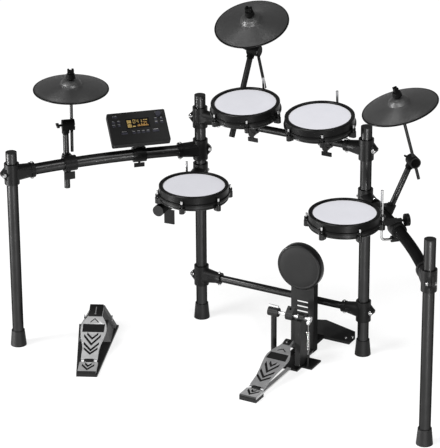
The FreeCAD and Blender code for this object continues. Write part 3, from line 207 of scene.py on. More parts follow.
def flatBlock(name, x, y, width, height, low, high, bevel):
    # a block in mm: its middle and size on a face, and its two levels
    pickNone()
    bpy.ops.mesh.primitive_cube_add(size=1, location=(x * mm, y * mm, (low + high) / 2 * mm))
    piece = named(name)
    piece.scale = (width * mm, height * mm, (high - low) * mm)
    bpy.ops.object.transform_apply()
    if bevel:
        editAll()
        bpy.ops.mesh.bevel(offset=bevel * mm, segments=2, affect="EDGES")
        leaveEdit()
    return piece


# shader maths: a socket that takes part in plain arithmetic

class Value:
    def __init__(self, finish, socket):
        self.finish = finish
        self.socket = socket

    def maths(self, operation, first, second):
        return self.finish.node("ShaderNodeMath", {"operation": operation}, {0: first, 1: second})

    def __add__(self, other):
        return self.maths("ADD", self, other)

    def __radd__(self, other):
        return self.maths("ADD", other, self)

    def __sub__(self, other):
        return self.maths("SUBTRACT", self, other)

    def __rsub__(self, other):
        return self.maths("SUBTRACT", other, self)

    def __mul__(self, other):
        return self.maths("MULTIPLY", self, other)

    def __rmul__(self, other):
        return self.maths("MULTIPLY", other, self)

    def __gt__(self, other):
        return self.maths("GREATER_THAN", self, other)

    def __lt__(self, other):
        return self.maths("LESS_THAN", self, other)


class Finish:
    def __init__(self, name):
        self.material = bpy.data.materials.new(name)
        self.material.use_nodes = True
        self.tree = self.material.node_tree
        self.tree.nodes.clear()
        self.spot = self.node("ShaderNodeTexCoord", {}, {}, "Object")

    def node(self, kind, settings, inputs, output=0):
        made = self.tree.nodes.new(kind)
        for key, value in settings.items():
            setattr(made, key, value)
        for key, value in inputs.items():
            if isinstance(value, Value):
                self.tree.links.new(value.socket, made.inputs[key])
            else:
                made.inputs[key].default_value = value
        return Value(self, made.outputs[output] if made.outputs else None)

    def noise(self, scale, detail=2.0):
        return self.node("ShaderNodeTexNoise", {}, {"Vector": self.spot, "Scale": scale, "Detail": detail})

    def stripes(self, direction, pitch):
        # even waves, pitch metres apart: the wave texture turns 20 radians in a unit
        settings = {"wave_type": "BANDS", "bands_direction": direction}
        scale = 2 * math.pi / (20 * pitch)
        return self.node("ShaderNodeTexWave", settings, {"Vector": self.spot, "Scale": scale})

    def ripples(self, radius, pitch):
        return self.node("ShaderNodeMath", {"operation": "SINE"}, {0: radius * (2 * math.pi / pitch)})

    def measure(self, operation, vector):
        # one number from the place on the piece and a fixed vector
        inputs = {0: self.spot, 1: vector}
        return self.node("ShaderNodeVectorMath", {"operation": operation}, inputs, "Value")

    def along(self, letter):
        return self.node("ShaderNodeSeparateXYZ", {}, {0: self.spot}, letter)

    def between(self, letter, low, high):
        spot = self.along(letter)
        return (spot > low) * (spot < high)

    def blend(self, share, first, second):
        return self.node("ShaderNodeMix", {"data_type": "RGBA"}, {0: share, 6: first, 7: second}, 2)

    def bump(self, height, strength, distance):
        inputs = {"Height": height, "Strength": strength, "Distance": distance}
        return self.node("ShaderNodeBump", {}, inputs)

    def paint(self, inputs):
        skin = self.node("ShaderNodeBsdfPrincipled", {}, inputs)
        self.node("ShaderNodeOutputMaterial", {}, {"Surface": skin})
        return self.material


def grey(level, blue=0.0):
    return (level, level, level + blue, 1)


grainDepth = 0.3 * mm
fineDepth = 0.2 * mm
richDetail = 3.0
thinDetail = 1.0


def grained(name, look):
    # paint, moulded plastic and rubber: a soft cloud in colour and gloss over a fine grain
    finish = Finish(name)
    cloud = finish.noise(look["cloud"], richDetail)
    grain = finish.noise(look["grain"])
    inputs = {
        "Base Color": finish.blend(cloud, look["dark"], look["light"]),
        "Metallic": look["metal"],
        "Roughness": cloud * look["roughSpread"] + look["rough"],
        "Normal": finish.bump(grain, look["relief"], grainDepth),
        "Specular IOR Level": look["specular"],
        "Specular Tint": look["edge"],
    }
    return finish.paint(inputs)


def brightSteel(name, look):
    finish = Finish(name)
    smear = finish.noise(look["smear"])
    inputs = {
        "Base Color": finish.blend(smear, look["dark"], look["light"]),
        "Metallic": 1.0,
        "Roughness": smear * look["roughSpread"] + look["rough"],
    }
    return finish.paint(inputs)


def castSilver(name, look):
    finish = Finish(name)
    sand = finish.noise(look["sand"], richDetail)
    cloud = finish.noise(look["cloud"])
    inputs = {
        "Base Color": finish.blend(cloud, look["dark"], look["light"]),
        "Metallic": look["metal"],
        "Roughness": cloud * look["roughSpread"] + look["rough"],
        "Normal": finish.bump(sand, look["relief"], fineDepth),
    }
    return finish.paint(inputs)


def wovenMesh(name, look):
    # two crossing threads, a little darker in the holes between them
    finish = Finish(name)
    weave = (finish.stripes("X", look["pitch"]) + finish.stripes("Y", look["pitch"])) * 0.5
    cloud = finish.noise(look["cloud"])
    thread = finish.blend(cloud, look["shade"], look["light"])
    inputs = {
        "Base Color": finish.blend(weave * look["holes"], thread, look["hole"]),
        "Roughness": look["rough"],
        "Normal": finish.bump(weave, look["relief"], fineDepth),
        "Sheen Weight": look["sheen"],
    }
    return finish.paint(inputs)


def cymbalRubber(name, look):
    # fine turned rings that follow the radius kept on the mesh
    finish = Finish(name)
    radius = finish.node("ShaderNodeAttribute", {"attribute_name": "ring"}, {}, "Fac")
    rings = finish.ripples(radius, look["ringPitch"])
    bands = finish.ripples(radius, look["bandPitch"])
    cloud = finish.noise(look["cloud"], richDetail)
    grain = finish.noise(look["grain"])
    tone = cloud * look["cloudShare"] + bands * look["bandShare"] + look["level"]
    relief = rings * look["ringRelief"] + grain * look["grainShare"]
    inputs = {
        "Base Color": finish.blend(tone, look["dark"], look["light"]),
        "Roughness": cloud * look["roughSpread"] + look["rough"],
        "Normal": finish.bump(relief, look["relief"], fineDepth),
        "Specular IOR Level": look["specular"],
    }
    return finish.paint(inputs)


def partSilver(name, look, mask):
    # one solid with two finishes, told apart by where they are on it
    finish = Finish(name)
    bare = mask(finish)
    cloud = finish.noise(look["cloud"])
    grain = finish.noise(look["grain"])
    black = finish.blend(cloud, look["dark"], look["light"])
    inputs = {
        "Base Color": finish.blend(bare, black, look["silver"]),
        "Metallic": bare * look["metal"],
        "Roughness": bare * (look["silverRough"] - look["rough"]) + look["rough"],
        "Normal": finish.bump(grain, look["relief"], grainDepth),
        "Specular IOR Level": look["specular"],
        "Specular Tint": look["edge"],
    }
    return finish.paint(inputs)


def glowing(name, look):
    finish = Finish(name)
    flicker = finish.noise(look["flicker"], thinDetail)
    inputs = {
        "Base Color": look["color"],
        "Emission Color": finish.blend(flicker * look["flickerShare"], look["color"], grey(0.0)),
        "Emission Strength": look["strength"],
        "Roughness": look["rough"],
    }
    return finish.paint(inputs)


def dull(dark, light, rough, spread, cloud, grain, relief, shine=0.5):
    return {"dark": dark, "light": light, "rough": rough, "roughSpread": spread, "cloud": cloud,
            "grain": grain, "relief": relief, "specular": shine, "metal": 0.0, "edge": grey(1.0)}


# thin black paint over steel: its gloss dies away towards the edges
paintLook = {"cloud": 22.0, "grain": 1900.0, "relief": 0.14, "dark": grey(0.028), "light": grey(0.038),
             "metal": 0.92, "edge": grey(0.06), "specular": 0.1, "rough": 0.26, "roughSpread": 0.06}
sheetLook = dict(paintLook, dark=grey(0.018), light=grey(0.026), rough=0.42, metal=0.8)
rodLook = dict(paintLook, dark=grey(0.026), light=grey(0.036), rough=0.30)
steelLook = {"smear": 260.0, "dark": grey(0.40), "light": grey(0.56), "rough": 0.12, "roughSpread": 0.14}
silverLook = {"sand": 1500.0, "cloud": 45.0, "dark": grey(0.27), "light": grey(0.40, 0.004), "metal": 0.45,
              "rough": 0.36, "roughSpread": 0.16, "relief": 0.22}
headLook = {"pitch": 1.1 * mm, "cloud": 14.0, "shade": (0.58, 0.58, 0.62, 1),
            "light": (0.65, 0.65, 0.69, 1), "holes": 0.28, "hole": (0.46, 0.46, 0.50, 1),
            "relief": 0.35, "rough": 0.78, "sheen": 0.15}
cymbalLook = {"ringPitch": 2.2 * mm, "bandPitch": 7.0 * mm, "ringRelief": 1.6, "grainShare": 0.25,
              "cloud": 20.0, "grain": 2600.0, "relief": 0.78, "dark": grey(0.007), "light": grey(0.019),
              "cloudShare": 0.5, "bandShare": 0.2, "level": 0.2, "rough": 0.38, "roughSpread": 0.08,
              "specular": 0.62}
pedalLook = {"cloud": 30.0, "grain": 1400.0, "relief": 0.2, "dark": grey(0.005), "light": grey(0.010),
             "silver": grey(0.55), "metal": 0.8, "rough": 0.42, "silverRough": 0.33, "specular": 0.12,
             "edge": grey(1.0)}
amberLook = {"color": (0.36, 0.25, 0.08, 1), "strength": 0.62, "flicker": 900.0, "flickerShare": 0.25,
             "rough": 0.3}

finishes = {
    "black_tube": grained("satinTube", paintLook),
    "black_sheet": grained("satinSheet", sheetLook),
    "black_steel": grained("blackRod", rodLook),
    "bright_steel": brightSteel("brightPlate", steelLook),
    "clamp_plastic": grained("mouldedNylon", dull(
        grey(0.003), grey(0.005), rough=0.36, spread=0.12, cloud=34, grain=1300, relief=0.26, shine=0.1)),
    "foot_rubber": grained("footRubber", dull(
        grey(0.005), grey(0.009), rough=0.46, spread=0.16, cloud=40, grain=1100, relief=0.36, shine=0.12)),
    "shell_plastic": grained("shellPlastic", dull(
        grey(0.002), grey(0.004), rough=0.2, spread=0.08, cloud=30, grain=1500, relief=0.12, shine=0.26)),
    "hoop_rubber": grained("hoopRubber", dull(
        grey(0.0015), grey(0.003), rough=0.28, spread=0.1, cloud=36, grain=1500, relief=0.2, shine=0.08)),
    "drum_head": wovenMesh("wovenHead", headLook),
    "sensor_foam": grained("sensorFoam", dull(
        grey(0.06), grey(0.09), rough=0.85, spread=0.1, cloud=60, grain=700, relief=0.8)),
    "cymbal_rubber": cymbalRubber("cymbalRubber", cymbalLook),
    "module_plastic": grained("caseTexture", dull(
        grey(0.005), grey(0.009), rough=0.5, spread=0.12, cloud=40, grain=1800, relief=0.5, shine=0.12)),
    "module_panel": grained("panelGloss", dull(
        grey(0.010), grey(0.014), rough=0.32, spread=0.08, cloud=50, grain=2200, relief=0.08, shine=0.1)),
    "button_plastic": grained("softKeys", dull(
        grey(0.018, 0.006), grey(0.026, 0.008), rough=0.5, spread=0.12, cloud=90, grain=1800, relief=0.25,
        shine=0.12)),
    "circuit_board": grained("circuitBoard", dull(
        (0.02, 0.12, 0.05, 1), (0.03, 0.17, 0.07, 1), rough=0.45, spread=0.1, cloud=90, grain=1500,
        relief=0.2)),
    "pad_rubber": grained("padRubber", dull(
        grey(0.006), grey(0.009), rough=0.55, spread=0.12, cloud=26, grain=1700, relief=0.22, shine=0.1)),
    "cast_silver": castSilver("castSilver", silverLook),
    "pedal_plastic": grained("pedalPlastic", dull(
        grey(0.003), grey(0.006), rough=0.32, spread=0.12, cloud=32, grain=1500, relief=0.26, shine=0.12)),
}
extras = {
    # a darker copy of the cast silver: painted shade on the kick board, and the hi-hat pedal pins' own darker grey
    "darkAndShadedSilver": castSilver("darkAndShadedSilver", dict(silverLook, dark=grey(0.13), light=grey(0.21, 0.004))),
    "grip": grained("gripRubber", dull(
        grey(0.003), grey(0.006), rough=0.6, spread=0.12, cloud=60, grain=1600, relief=0.4, shine=0.1)),
    "collar": grained("headCollar", dull(
        grey(0.64, 0.02), grey(0.72, 0.02), rough=0.55, spread=0.1, cloud=40, grain=1800, relief=0.2)),
    "print": grained("panelPrint", dull(
        grey(0.30), grey(0.42), rough=0.5, spread=0.1, cloud=200, grain=2000, relief=0.05)),
    "glass": grained("displayGlass", dull(
        grey(0.004), grey(0.006), rough=0.14, spread=0.05, cloud=60, grain=2500, relief=0.02, shine=0.12)),
    "amber": glowing("amberCells", amberLook),
    "ember": glowing("emberCells", dict(amberLook, color=(0.22, 0.12, 0.03, 1), strength=0.5)),
    "band": grained("shellBand", dull(
        grey(0.004), grey(0.007), rough=0.24, spread=0.08, cloud=40, grain=1900, relief=0.1, shine=0.12)),
}
print("finishes made,", len(finishes) + len(extras))


def coat(piece, finish):
    piece.data.materials.clear()
    piece.data.materials.append(finish)


def addFinish(piece, finish, test):
    # one more finish, on the faces that pass the test
    piece.data.materials.append(finish)
    last = len(piece.data.materials) - 1
    for face in piece.data.polygons:
        if test(face):
            face.material_index = last


def settle(piece, body, angle):
    # smooth up to an angle, and riding on its body
    pickOnly(piece)
    bpy.ops.object.shade_smooth_by_angle(angle=math.radians(angle))
    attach(piece, body)


def dress(piece, finish, body, angle=crisp):
    coat(piece, finish)
    settle(piece, body, angle)


bodies = frame["record"]["behaviour"]["bodies"]
bodyOf = {node: body for body, members in bodies.items() for node in members}
slotOf = {part["node"]: part["material_slot"] for part in frame["record"]["subparts"]}
for nodeName, node in nodes.items():
    coat(node, finishes[slotOf[nodeName]])

# where the bare metal begins and ends on solids with two finishes
bareFrame = {"front": -249.8 * mm, "back": -38.8 * mm, "top": 9.5 * mm, "wing": 190.5 * mm}
darkHub = {"left": 107.5 * mm, "right": 134.5 * mm}
greyHousing = {"floor": 8.2 * mm, "front": -250 * mm}
housingLook = dict(pedalLook, silver=grey(0.045), metal=0.2, silverRough=0.45)


def frameSilver(finish):
    # bare tie straps under the board, and the bright wing on the left column
    height = finish.along("Z")
    straps = finish.between("Y", bareFrame["front"], bareFrame["back"]) * (height < bareFrame["top"])
    return straps + (height > bareFrame["wing"])


def axleSilver(finish):
    # bright shaft and lever, dark beater hub
    return 1.0 - finish.between("X", darkHub["left"], darkHub["right"])


def housingSilver(finish):
    # the grey housing that stands on the hi-hat pedal's base
    return (finish.along("Z") > greyHousing["floor"]) * (finish.along("Y") > greyHousing["front"])


for nodeName, look, mask in (("kick_pedal_frame", pedalLook, frameSilver),
                             ("kick_axle", pedalLook, axleSilver),
                             ("hihat_pedal_base", housingLook, housingSilver)):
    coat(nodes[nodeName], partSilver(nodeName + "Paint", look, mask))
print("nodes painted")


# where things are, from the frame's joints and boxes

def jointSpot(name):
    return Vector(joints[name]["pos_m"])


def jointAxis(name):
    return Vector(joints[name]["axis"]).normalized()


def nodeMiddle(name):
    low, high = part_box(name)
    return (low + high) / 2


# drum heads: a stretched woven sheet with a pale collar band under the hoop

drumHead = {"radius": 108.3 * mm, "bandRadius": 99.5 * mm, "thickness": 0.6 * mm, "drop": 1.2 * mm,
            "lip": 1 * mm, "solidDepth": 1.5 * mm, "sides": 128, "rings": 4, "smooth": 35}
drums = ("snare", "tom_1", "tom_2", "floor_tom")


def drumFrame(drum):
    head = nodes[drum + "_head"]
    widest = max(head.data.polygons, key=lambda face: face.area)
    normal = widest.normal if widest.normal.z > 0 else -widest.normal
    return axes(nodeMiddle(drum + "_head") + normal * drumHead["solidDepth"] / 2, across, normal)


def makeHead(drum):
    size = drumHead
    piece = addCircle(drum + "Sheet", size["sides"], size["radius"], fill="NGON")
    editAll()
    bpy.ops.mesh.inset(thickness=size["radius"] - size["bandRadius"])
    for ring in range(size["rings"]):
        bpy.ops.mesh.inset(thickness=size["bandRadius"] / (size["rings"] + 1))
    leaveEdit()
    for vertex in piece.data.vertices:
        if vertex.co.xy.length > size["radius"] - size["lip"]:
            vertex.co.z -= size["drop"]  # the collar turns down over the shell's edge
    applyModifier(piece, "SOLIDIFY", {"thickness": size["thickness"], "offset": -1.0})
    coat(piece, finishes["drum_head"])
    addFinish(piece, extras["collar"], lambda face: face.center.xy.length > size["bandRadius"])
    piece.data.transform(drumFrame(drum))
    settle(piece, drum, size["smooth"])
    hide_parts(drum + "_head")


for drum in drums:
    makeHead(drum)
print("heads stretched,", len(drums))


# drum shells: a glossy rolled edge at the bottom, as (radius, height) in mm from the head

shellEdge = {"sides": 144, "smooth": 50,
             "steps": ((112.9, -37.5), (114.2, -38.0), (115.0, -39.4), (114.8, -41.4), (113.2, -43.0),
                       (108.5, -44.2))}


def makeShellEdges():
    blank = turnedPiece("edgeBlank", shellEdge["steps"], shellEdge["sides"], False)
    for drum in drums:
        edge = copyOf(blank, drum + "Bands", drumFrame(drum))
        dress(edge, extras["band"], drum, shellEdge["smooth"])
    bpy.data.objects.remove(blank)


makeShellEdges()
print("shell edges rolled")


# cymbal pads: a turned rubber pad with a bowed top, a rolled rim and a stepped bell, in mm

cymbal = {"radius": 127, "rim": 4, "bow": 20, "swell": 1.6, "bellRadius": 37, "bellStep": 4,
          "bellHeight": 37, "bellTop": 15, "topThickness": 3, "skin": 5, "hole": 6.0, "darkRim": 5.2,
          "sides": 144, "smooth": 40}
cymbals = ("hihat", "crash", "ride")


def cymbalSteps():
    # from under the rim over the bow and the bell, and back underneath
    size = cymbal
    rim, edge = size["radius"], size["rim"]
    bell, bow, step = size["bellRadius"], size["bow"], size["bellStep"]
    top, high, hole = size["bellTop"], size["bellHeight"], size["hole"]
    inner = high - size["topThickness"]
    steps = [(rim - 3.2, 0), (rim - 1.2, 0), (rim - 0.3, 0.5), (rim, 1.4), (rim, edge - 1.5)]
    steps += [(rim - 0.4, edge - 0.5), (rim - 1.4, edge), (rim - 5, edge + 0.3), (rim - 6, edge + 0.1)]
    for share in (0.12, 0.25, 0.4, 0.55, 0.7, 0.85):
        lift = share * (bow - edge) + math.sin(math.pi * share) * size["swell"]
        steps.append((rim - share * (rim - bell - 1), edge + lift))
    steps += [(bell + 1.2, bow - 0.2), (bell - 0.2, bow + 1), (bell - 1, bow + step - 1)]
    for share in (0.12, 0.3, 0.5, 0.7, 0.87):
        turn = share * math.pi / 2
        lift = step + (high - bow - step) * math.sin(turn)
        steps.append((top + (bell - 2.2 - top) * math.cos(turn), bow + lift))
    steps += [(top - 2, high), (hole + 1, high), (hole, high - 1), (hole, inner), (top, inner)]
    steps += [(bell - 13, high - 9), (bell - 4, bow - 2), (bell, bow - size["skin"])]
    steps += [(rim - 6, 1.2), (rim - 3.2, 0)]
    return steps


def cymbalFrame(name):
    pivot = jointSpot(name + "_cymbal_rock")
    side = jointAxis(name + "_cymbal_rock")
    rise = pivot - jointSpot(name + "_boom_tilt")
    normal = (rise - side * rise.dot(side)).normalized()
    drop = (cymbal["bellHeight"] - cymbal["topThickness"] / 2) * mm
    return axes(pivot - normal * drop, side, normal)


def makeCymbals():
    blank = turnedPiece("padBlank", cymbalSteps(), cymbal["sides"])
    ring = blank.data.attributes.new("ring", "FLOAT", "POINT")
    for vertex in blank.data.vertices:
        ring.data[vertex.index].value = vertex.co.xy.length
    coat(blank, finishes["cymbal_rubber"])
    rim = (cymbal["radius"] - cymbal["darkRim"]) * mm
    addFinish(blank, finishes["hoop_rubber"], lambda face: face.center.xy.length > rim)
    for name in cymbals:
        pad = copyOf(blank, name + "Pad", cymbalFrame(name))
        settle(pad, name + "_cymbal", cymbal["smooth"])
        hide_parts(name + "_cymbal")
    bpy.data.objects.remove(blank)


makeCymbals()
print("cymbal pads turned,", len(cymbals))


# booms and stands: satin rods and tubes, with matt black nuts and tilters

boom = {"feltDrop": 12 * mm, "tilterReach": 34 * mm}
boomLook = dict(pedalLook, dark=grey(0.002), light=grey(0.004), rough=0.50, silver=grey(0.031), metal=0.92,
                silverRough=0.30, specular=0.08, edge=grey(0.06))


def tubeShare(name):
    # all but what is near the tilter
    pivot = jointSpot(name + "_boom_tilt")
    return lambda finish: finish.measure("DISTANCE", pivot) > boom["tilterReach"]


def rodShare(name):
    # between the tilter and the felt
    pivot = jointSpot(name + "_cymbal_rock")
    rise = (pivot - jointSpot(name + "_boom_tilt")).normalized()
    felt = rise.dot(pivot) - boom["feltDrop"]
    pastTilter = tubeShare(name)
    return lambda finish: (finish.measure("DOT_PRODUCT", rise) < felt) * pastTilter(finish)


for name in cymbals:
    coat(nodes[name + "_boom"], partSilver(name + "BoomPaint", boomLook, rodShare(name)))
    coat(nodes[name + "_stand"], partSilver(name + "StandPaint", boomLook, tubeShare(name)))
print("booms and stands painted")


# kick pad: a turned rubber disc with a soft crown and a rolled rim, in mm

kickPad = {"radius": 81, "thickness": 30, "crown": 0.8, "rimWidth": 9, "darkRim": 5, "pole": 0.5,
           "sides": 128, "smooth": 40}


def makeKickPad():
    size = kickPad
    rim, deep, pole = size["radius"], size["thickness"], size["pole"]
    edge = deep - size["crown"]
    inner = rim - size["rimWidth"]
    steps = [(pole, 0), (rim - 2, 0), (rim - 0.6, 0.6), (rim, 2), (rim, edge - 5)]
    steps += [(rim - 0.5, edge - 2.4), (rim - 2.2, edge - 0.6), (rim - 4.5, edge), (inner, edge)]
    steps += [(inner - 0.8, edge - 0.5), (inner - 1.8, edge - 0.1), (rim * 0.6, deep - 0.3)]
    steps += [(rim * 0.3, deep), (pole, deep)]
    pad = turnedPiece("kickPadSkin", steps, size["sides"])
    coat(pad, finishes["pad_rubber"])
    darkFrom = (rim - size["darkRim"]) * mm
    addFinish(pad, finishes["hoop_rubber"], lambda face: face.center.xy.length > darkFrom)
    low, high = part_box("kick_pad")
    back = Vector(((low.x + high.x) / 2, high.y, (low.z + high.z) / 2))
    pad.data.transform(axes(back, across, (0, -1, 0)))
    settle(pad, "rack", size["smooth"])
    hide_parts("kick_pad")


makeKickPad()
print("kick pad made")


# pedals: the cast boards and heel plates, with their grooves and grip bands cut in, in mm and degrees

pedal = {"boardTop": 5.0, "slope": 16.4, "depth": 1.5, "groove": 7.8, "toeGroove": 4.0, "over": 6.0,
         "bandDepth": 0.9, "heelTop": 20.0, "strapLift": 10.0}
# along each board: every groove is its tip, half width and rise; the band is its two ends with their half
# widths; the block is the dark neck's two ends and half width; the pin is the bolt's two ends
boards = {
    "kick": {"hingeY": 62, "band": ((143, 36.5), (175.5, 33)), "toe": (201, 15, -11),
             "grooves": ((27.8, 25, 23.3), (46.1, 26, 31), (72.7, 25.5, 40), (103.4, 12.5, 17)),
             "heelGrooves": ((9, 21, 28), (29, 8.5, 11)),
             # painted shade: the kick board's casting is a darker copy of the cast silver
             "block": (221, 248.5, 12.5), "pin": (228, 240), "casting": extras["darkAndShadedSilver"]},
    "hihat": {"hingeY": 78, "band": ((138.5, 37), (179.5, 37.5)), "toe": (210, 14, -18),
              "grooves": ((25.3, 23.5, 26), (41.7, 26, 35), (70, 28.5, 44), (99.5, 19, 24.7)),
              "heelGrooves": ((9, 21, 33), (33, 11, 18)),
              "block": (218, 278.5, 23.5), "pin": (226, 262), "casting": finishes["cast_silver"]},
}
# where the painted shade on each heel plate ends, in mm, and the plate's smoothing angle
heelEdge = {"reach": 7.5, "top": 19.9, "over": 20.4, "back": 8.2, "knuckleHalf": 17, "span": 120,
            "smooth": 12}
toeBlock = {"low": -2.0, "high": 8.0, "bevel": 1.6, "pinRadius": 2.0, "headRadius": 3.2, "headHeight": 3.0,
            "sides": 20}
# painted shade: a dark strip laid over each hinge stands for the shaded slot there, and covers the knuckle's
# highlight
hingeShadeStrip = {"ends": (-5.5, 5.0, 16.5), "low": 2.0, "high": 5.6, "bevel": 0.6}


def pedalAxes(name):
    # the hinge, the way along it, and the level way towards the toe
    side = -jointAxis(name + "_footboard_press")
    return jointSpot(name + "_footboard_press"), side, up.cross(side)


def heelFrame(name):
    # level on the floor, under the heel's front edge
    hinge, side, ahead = pedalAxes(name)
    return axes(hinge - ahead * boards[name]["hingeY"] * mm - up * hinge.z, side, up)


def boardFrame(name):
    # on the sloping board, at its hinge
    hinge, side, ahead = pedalAxes(name)
    lean = math.radians(pedal["slope"])
    return axes(hinge, side, up * math.cos(lean) - ahead * math.sin(lean))


def veeCutter(groove, width, top):
    # one chevron, drawn from its tip outwards
    tip, half, rise = groove
    step = width * math.hypot(half, rise) / half * math.copysign(1.0, rise)
    points = [(0, tip), (half, tip + rise), (half, tip + rise + step), (0, tip + step),
              (-half, tip + rise + step), (-half, tip + rise)]
    return outlinePiece("vee", points, top - pedal["depth"], top + pedal["over"])


def boardCutters(name):
    size, top = boards[name], pedal["boardTop"]
    cutters = [veeCutter(groove, pedal["groove"], top) for groove in size["grooves"]]
    cutters.append(veeCutter(size["toe"], pedal["toeGroove"], top))
    (near, nearHalf), (far, farHalf) = size["band"]
    corners = [(-nearHalf, near), (nearHalf, near), (farHalf, far), (-farHalf, far)]
    cutters.append(outlinePiece("band", corners, top - pedal["bandDepth"], top + pedal["over"]))
    return cutters


def cutInto(piece, cutters):
    # the cutters' own finish lines what they cut
    tool = joinPieces(cutters, "cutter")
    coat(tool, extras["grip"])
    settings = {"object": tool, "operation": "DIFFERENCE", "solver": "EXACT", "material_mode": "TRANSFER"}
    applyModifier(piece, "BOOLEAN", settings)
    bpy.data.objects.remove(tool)


def makeFootboard(name):
    place = boardFrame(name)
    piece = copyOfNode(name + "_footboard", name + "Board")
    coat(piece, boards[name]["casting"])
    cutters = boardCutters(name)
    for cutter in cutters:
        cutter.data.transform(place)
    cutInto(piece, cutters)
    # the drive strap stands well clear of the board's face, and is dark
    toBoard = place.inverted()
    addFinish(piece, extras["grip"], lambda face: (toBoard @ face.center).z > pedal["strapLift"] * mm)
    settle(piece, name + "_footboard", crisp)
    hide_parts(name + "_footboard")


def paintedHeelShade(name):
    # painted shade: the front edge with its bevel is coloured dark, and so is the knuckle behind the plate
    toHeel = heelFrame(name).inverted()
    knuckle = boards[name]["hingeY"] - heelEdge["back"]

    def test(face):
        spot = (toHeel @ face.center) / mm
        front = spot.y < heelEdge["reach"] and spot.z < heelEdge["top"]
        behind = spot.y > knuckle or spot.z > heelEdge["over"]
        dark = front or behind and abs(spot.x) < heelEdge["knuckleHalf"]
        return dark and spot.length <= heelEdge["span"]

    return test


def makeHeelPlates():
    piece = copyOfNode("pedal_heel_plates", "heelCastings")
    coat(piece, finishes["cast_silver"])
    cutters = []
    for name in boards:
        for groove in boards[name]["heelGrooves"]:
            cutters.append(veeCutter(groove, pedal["groove"], pedal["heelTop"]))
            cutters[-1].data.transform(heelFrame(name))
    cutInto(piece, cutters)
    tests = [paintedHeelShade(name) for name in boards]
    # painted shade: each heel plate's front edge and hinge knuckle take the dark pedal plastic
    addFinish(piece, finishes["pedal_plastic"], lambda face: any(test(face) for test in tests))
    settle(piece, "rack", heelEdge["smooth"])
    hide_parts("pedal_heel_plates")


def overBoard(name, ends, size):
    # a block on the board's middle line, by its two ends and half width
    near, far, half = ends
    middle = (near + far) / 2
    return flatBlock(name, 0, middle, 2 * half, far - near, size["low"], size["high"], size["bevel"])


def makeToeBlock(name):
    # a dark block over the neck of the board with one bright bolt, and at the hinge a dark strip that is painted
    # shade for the slot there
    size = toeBlock
    place = boardFrame(name)
    block = overBoard("block", boards[name]["block"], size)
    # painted shade: the dark strip over the hinge's slot
    shadeStrip = overBoard("shadeStrip", hingeShadeStrip["ends"], hingeShadeStrip)
    dark = joinPieces([block, shadeStrip], name + "ToeBlockAndHingeShade")
    dark.data.transform(place)
    dress(dark, extras["grip"], name + "_footboard")
    start, end = boards[name]["pin"]
    spot = Vector((0, start, size["high"])) * mm
    pin = rodPiece("pin", size["pinRadius"], end - start, size["sides"])
    pin.data.transform(axes(spot, across, (0, 1, 0)))
    head = rodPiece("head", size["headRadius"], size["headHeight"], size["sides"])
    head.data.transform(Matrix.Translation(spot))
    bolt = joinPieces([pin, head], name + "ToeBolt")
    bolt.data.transform(place)
    dress(bolt, finishes["bright_steel"], name + "_footboard")


for name in boards:
    makeFootboard(name)
    makeToeBlock(name)
makeHeelPlates()
print("pedal castings cut")


# kick pedal spring: one coil with a straight tail at each end, held by the stud and the lever

kickSpring = {"wire": 1.0 * mm, "wireSides": 10, "coil": 4.6 * mm, "pitch": 3.4 * mm, "turns": 19,
              "turnSteps": 24, "rise": 19 * mm, "bend": 8 * mm, "hold": 4 * mm, "tip": 1 * mm, "smooth": 60}
# each step of a tail's bend: its shares of the coil's radius and of the bend's height
tailBend = ((0.25, 0.25), (0.50, 0.35), (0.25, 0.40))


def makeTail(spot, turn, tip):
    size = kickSpring
    tail = addCircle("tail", size["wireSides"], size["wire"], (size["coil"], 0, spot), fill="NGON")
    editAll()
    for inwards, rise in tailBend:
        drawOut(-size["coil"] * inwards, 0, turn * size["bend"] * rise)
    drawOut(0, 0, tip - spot - turn * size["bend"])
    leaveEdit()
    return tail


def makeSpring():
    size = kickSpring
    low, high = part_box("kick_spring")
    axis = Vector(((low.x + high.x) / 2, (low.y + high.y) / 2, 0))
    start = low.z + size["rise"]
    end = start + size["pitch"] * size["turns"]
    coil = addCircle("coil", size["wireSides"], size["wire"], (size["coil"], 0, start), math.pi / 2)
    applyModifier(coil, "SCREW", {"axis": "Z", "angle": 2 * math.pi, "screw_offset": size["pitch"],
                                  "iterations": size["turns"], "steps": size["turnSteps"],
                                  "render_steps": size["turnSteps"], "use_normal_calculate": True})
    spring = joinPieces([coil, makeTail(start, -1, low.z), makeTail(end, 1, high.z)], "pedalSpring")
    cleanMesh(spring, weld["spring"])
    spring.data.transform(Matrix.Translation(axis))
    coat(spring, finishes["bright_steel"])
    bpy.ops.object.shade_smooth_by_angle(angle=math.radians(size["smooth"]))
    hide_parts("kick_spring")
    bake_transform(spring)


makeSpring()
print("spring wound")


# bright bolts: a washer and socket head on one side of each split ear, a nut on the other, and a
# set screw on top of each socket with a nut below; the arms' splay is in degrees

clampBolt = {"earReach": 31 * mm, "earHalf": 12 * mm, "screwReach": 71 * mm, "collarLip": 7.5 * mm,
             "sink": 0.8 * mm, "armSplay": 6.8}
boltShapes = {
    "head": {"sides": 32, "steps": ((7, 0), (7, 1.0), (6.6, 1.4), (4.8, 1.4), (4.8, 4.8), (4.3, 5.4),
                                    (2.5, 5.4), (2.3, 2.6), (0.3, 2.6))},
    "nut": {"sides": 6, "steps": ((7, 0), (7, 1.0), (5.9, 1.0), (5.9, 5.2), (5.2, 5.9), (3.2, 5.9),
                                  (3.0, 4.4), (0.3, 4.4))},
    "screw": {"sides": 24, "steps": ((4.6, 0), (4.6, 3.2), (4.1, 3.8), (2.1, 3.8), (1.9, 1.8), (0.3, 1.8))},
}


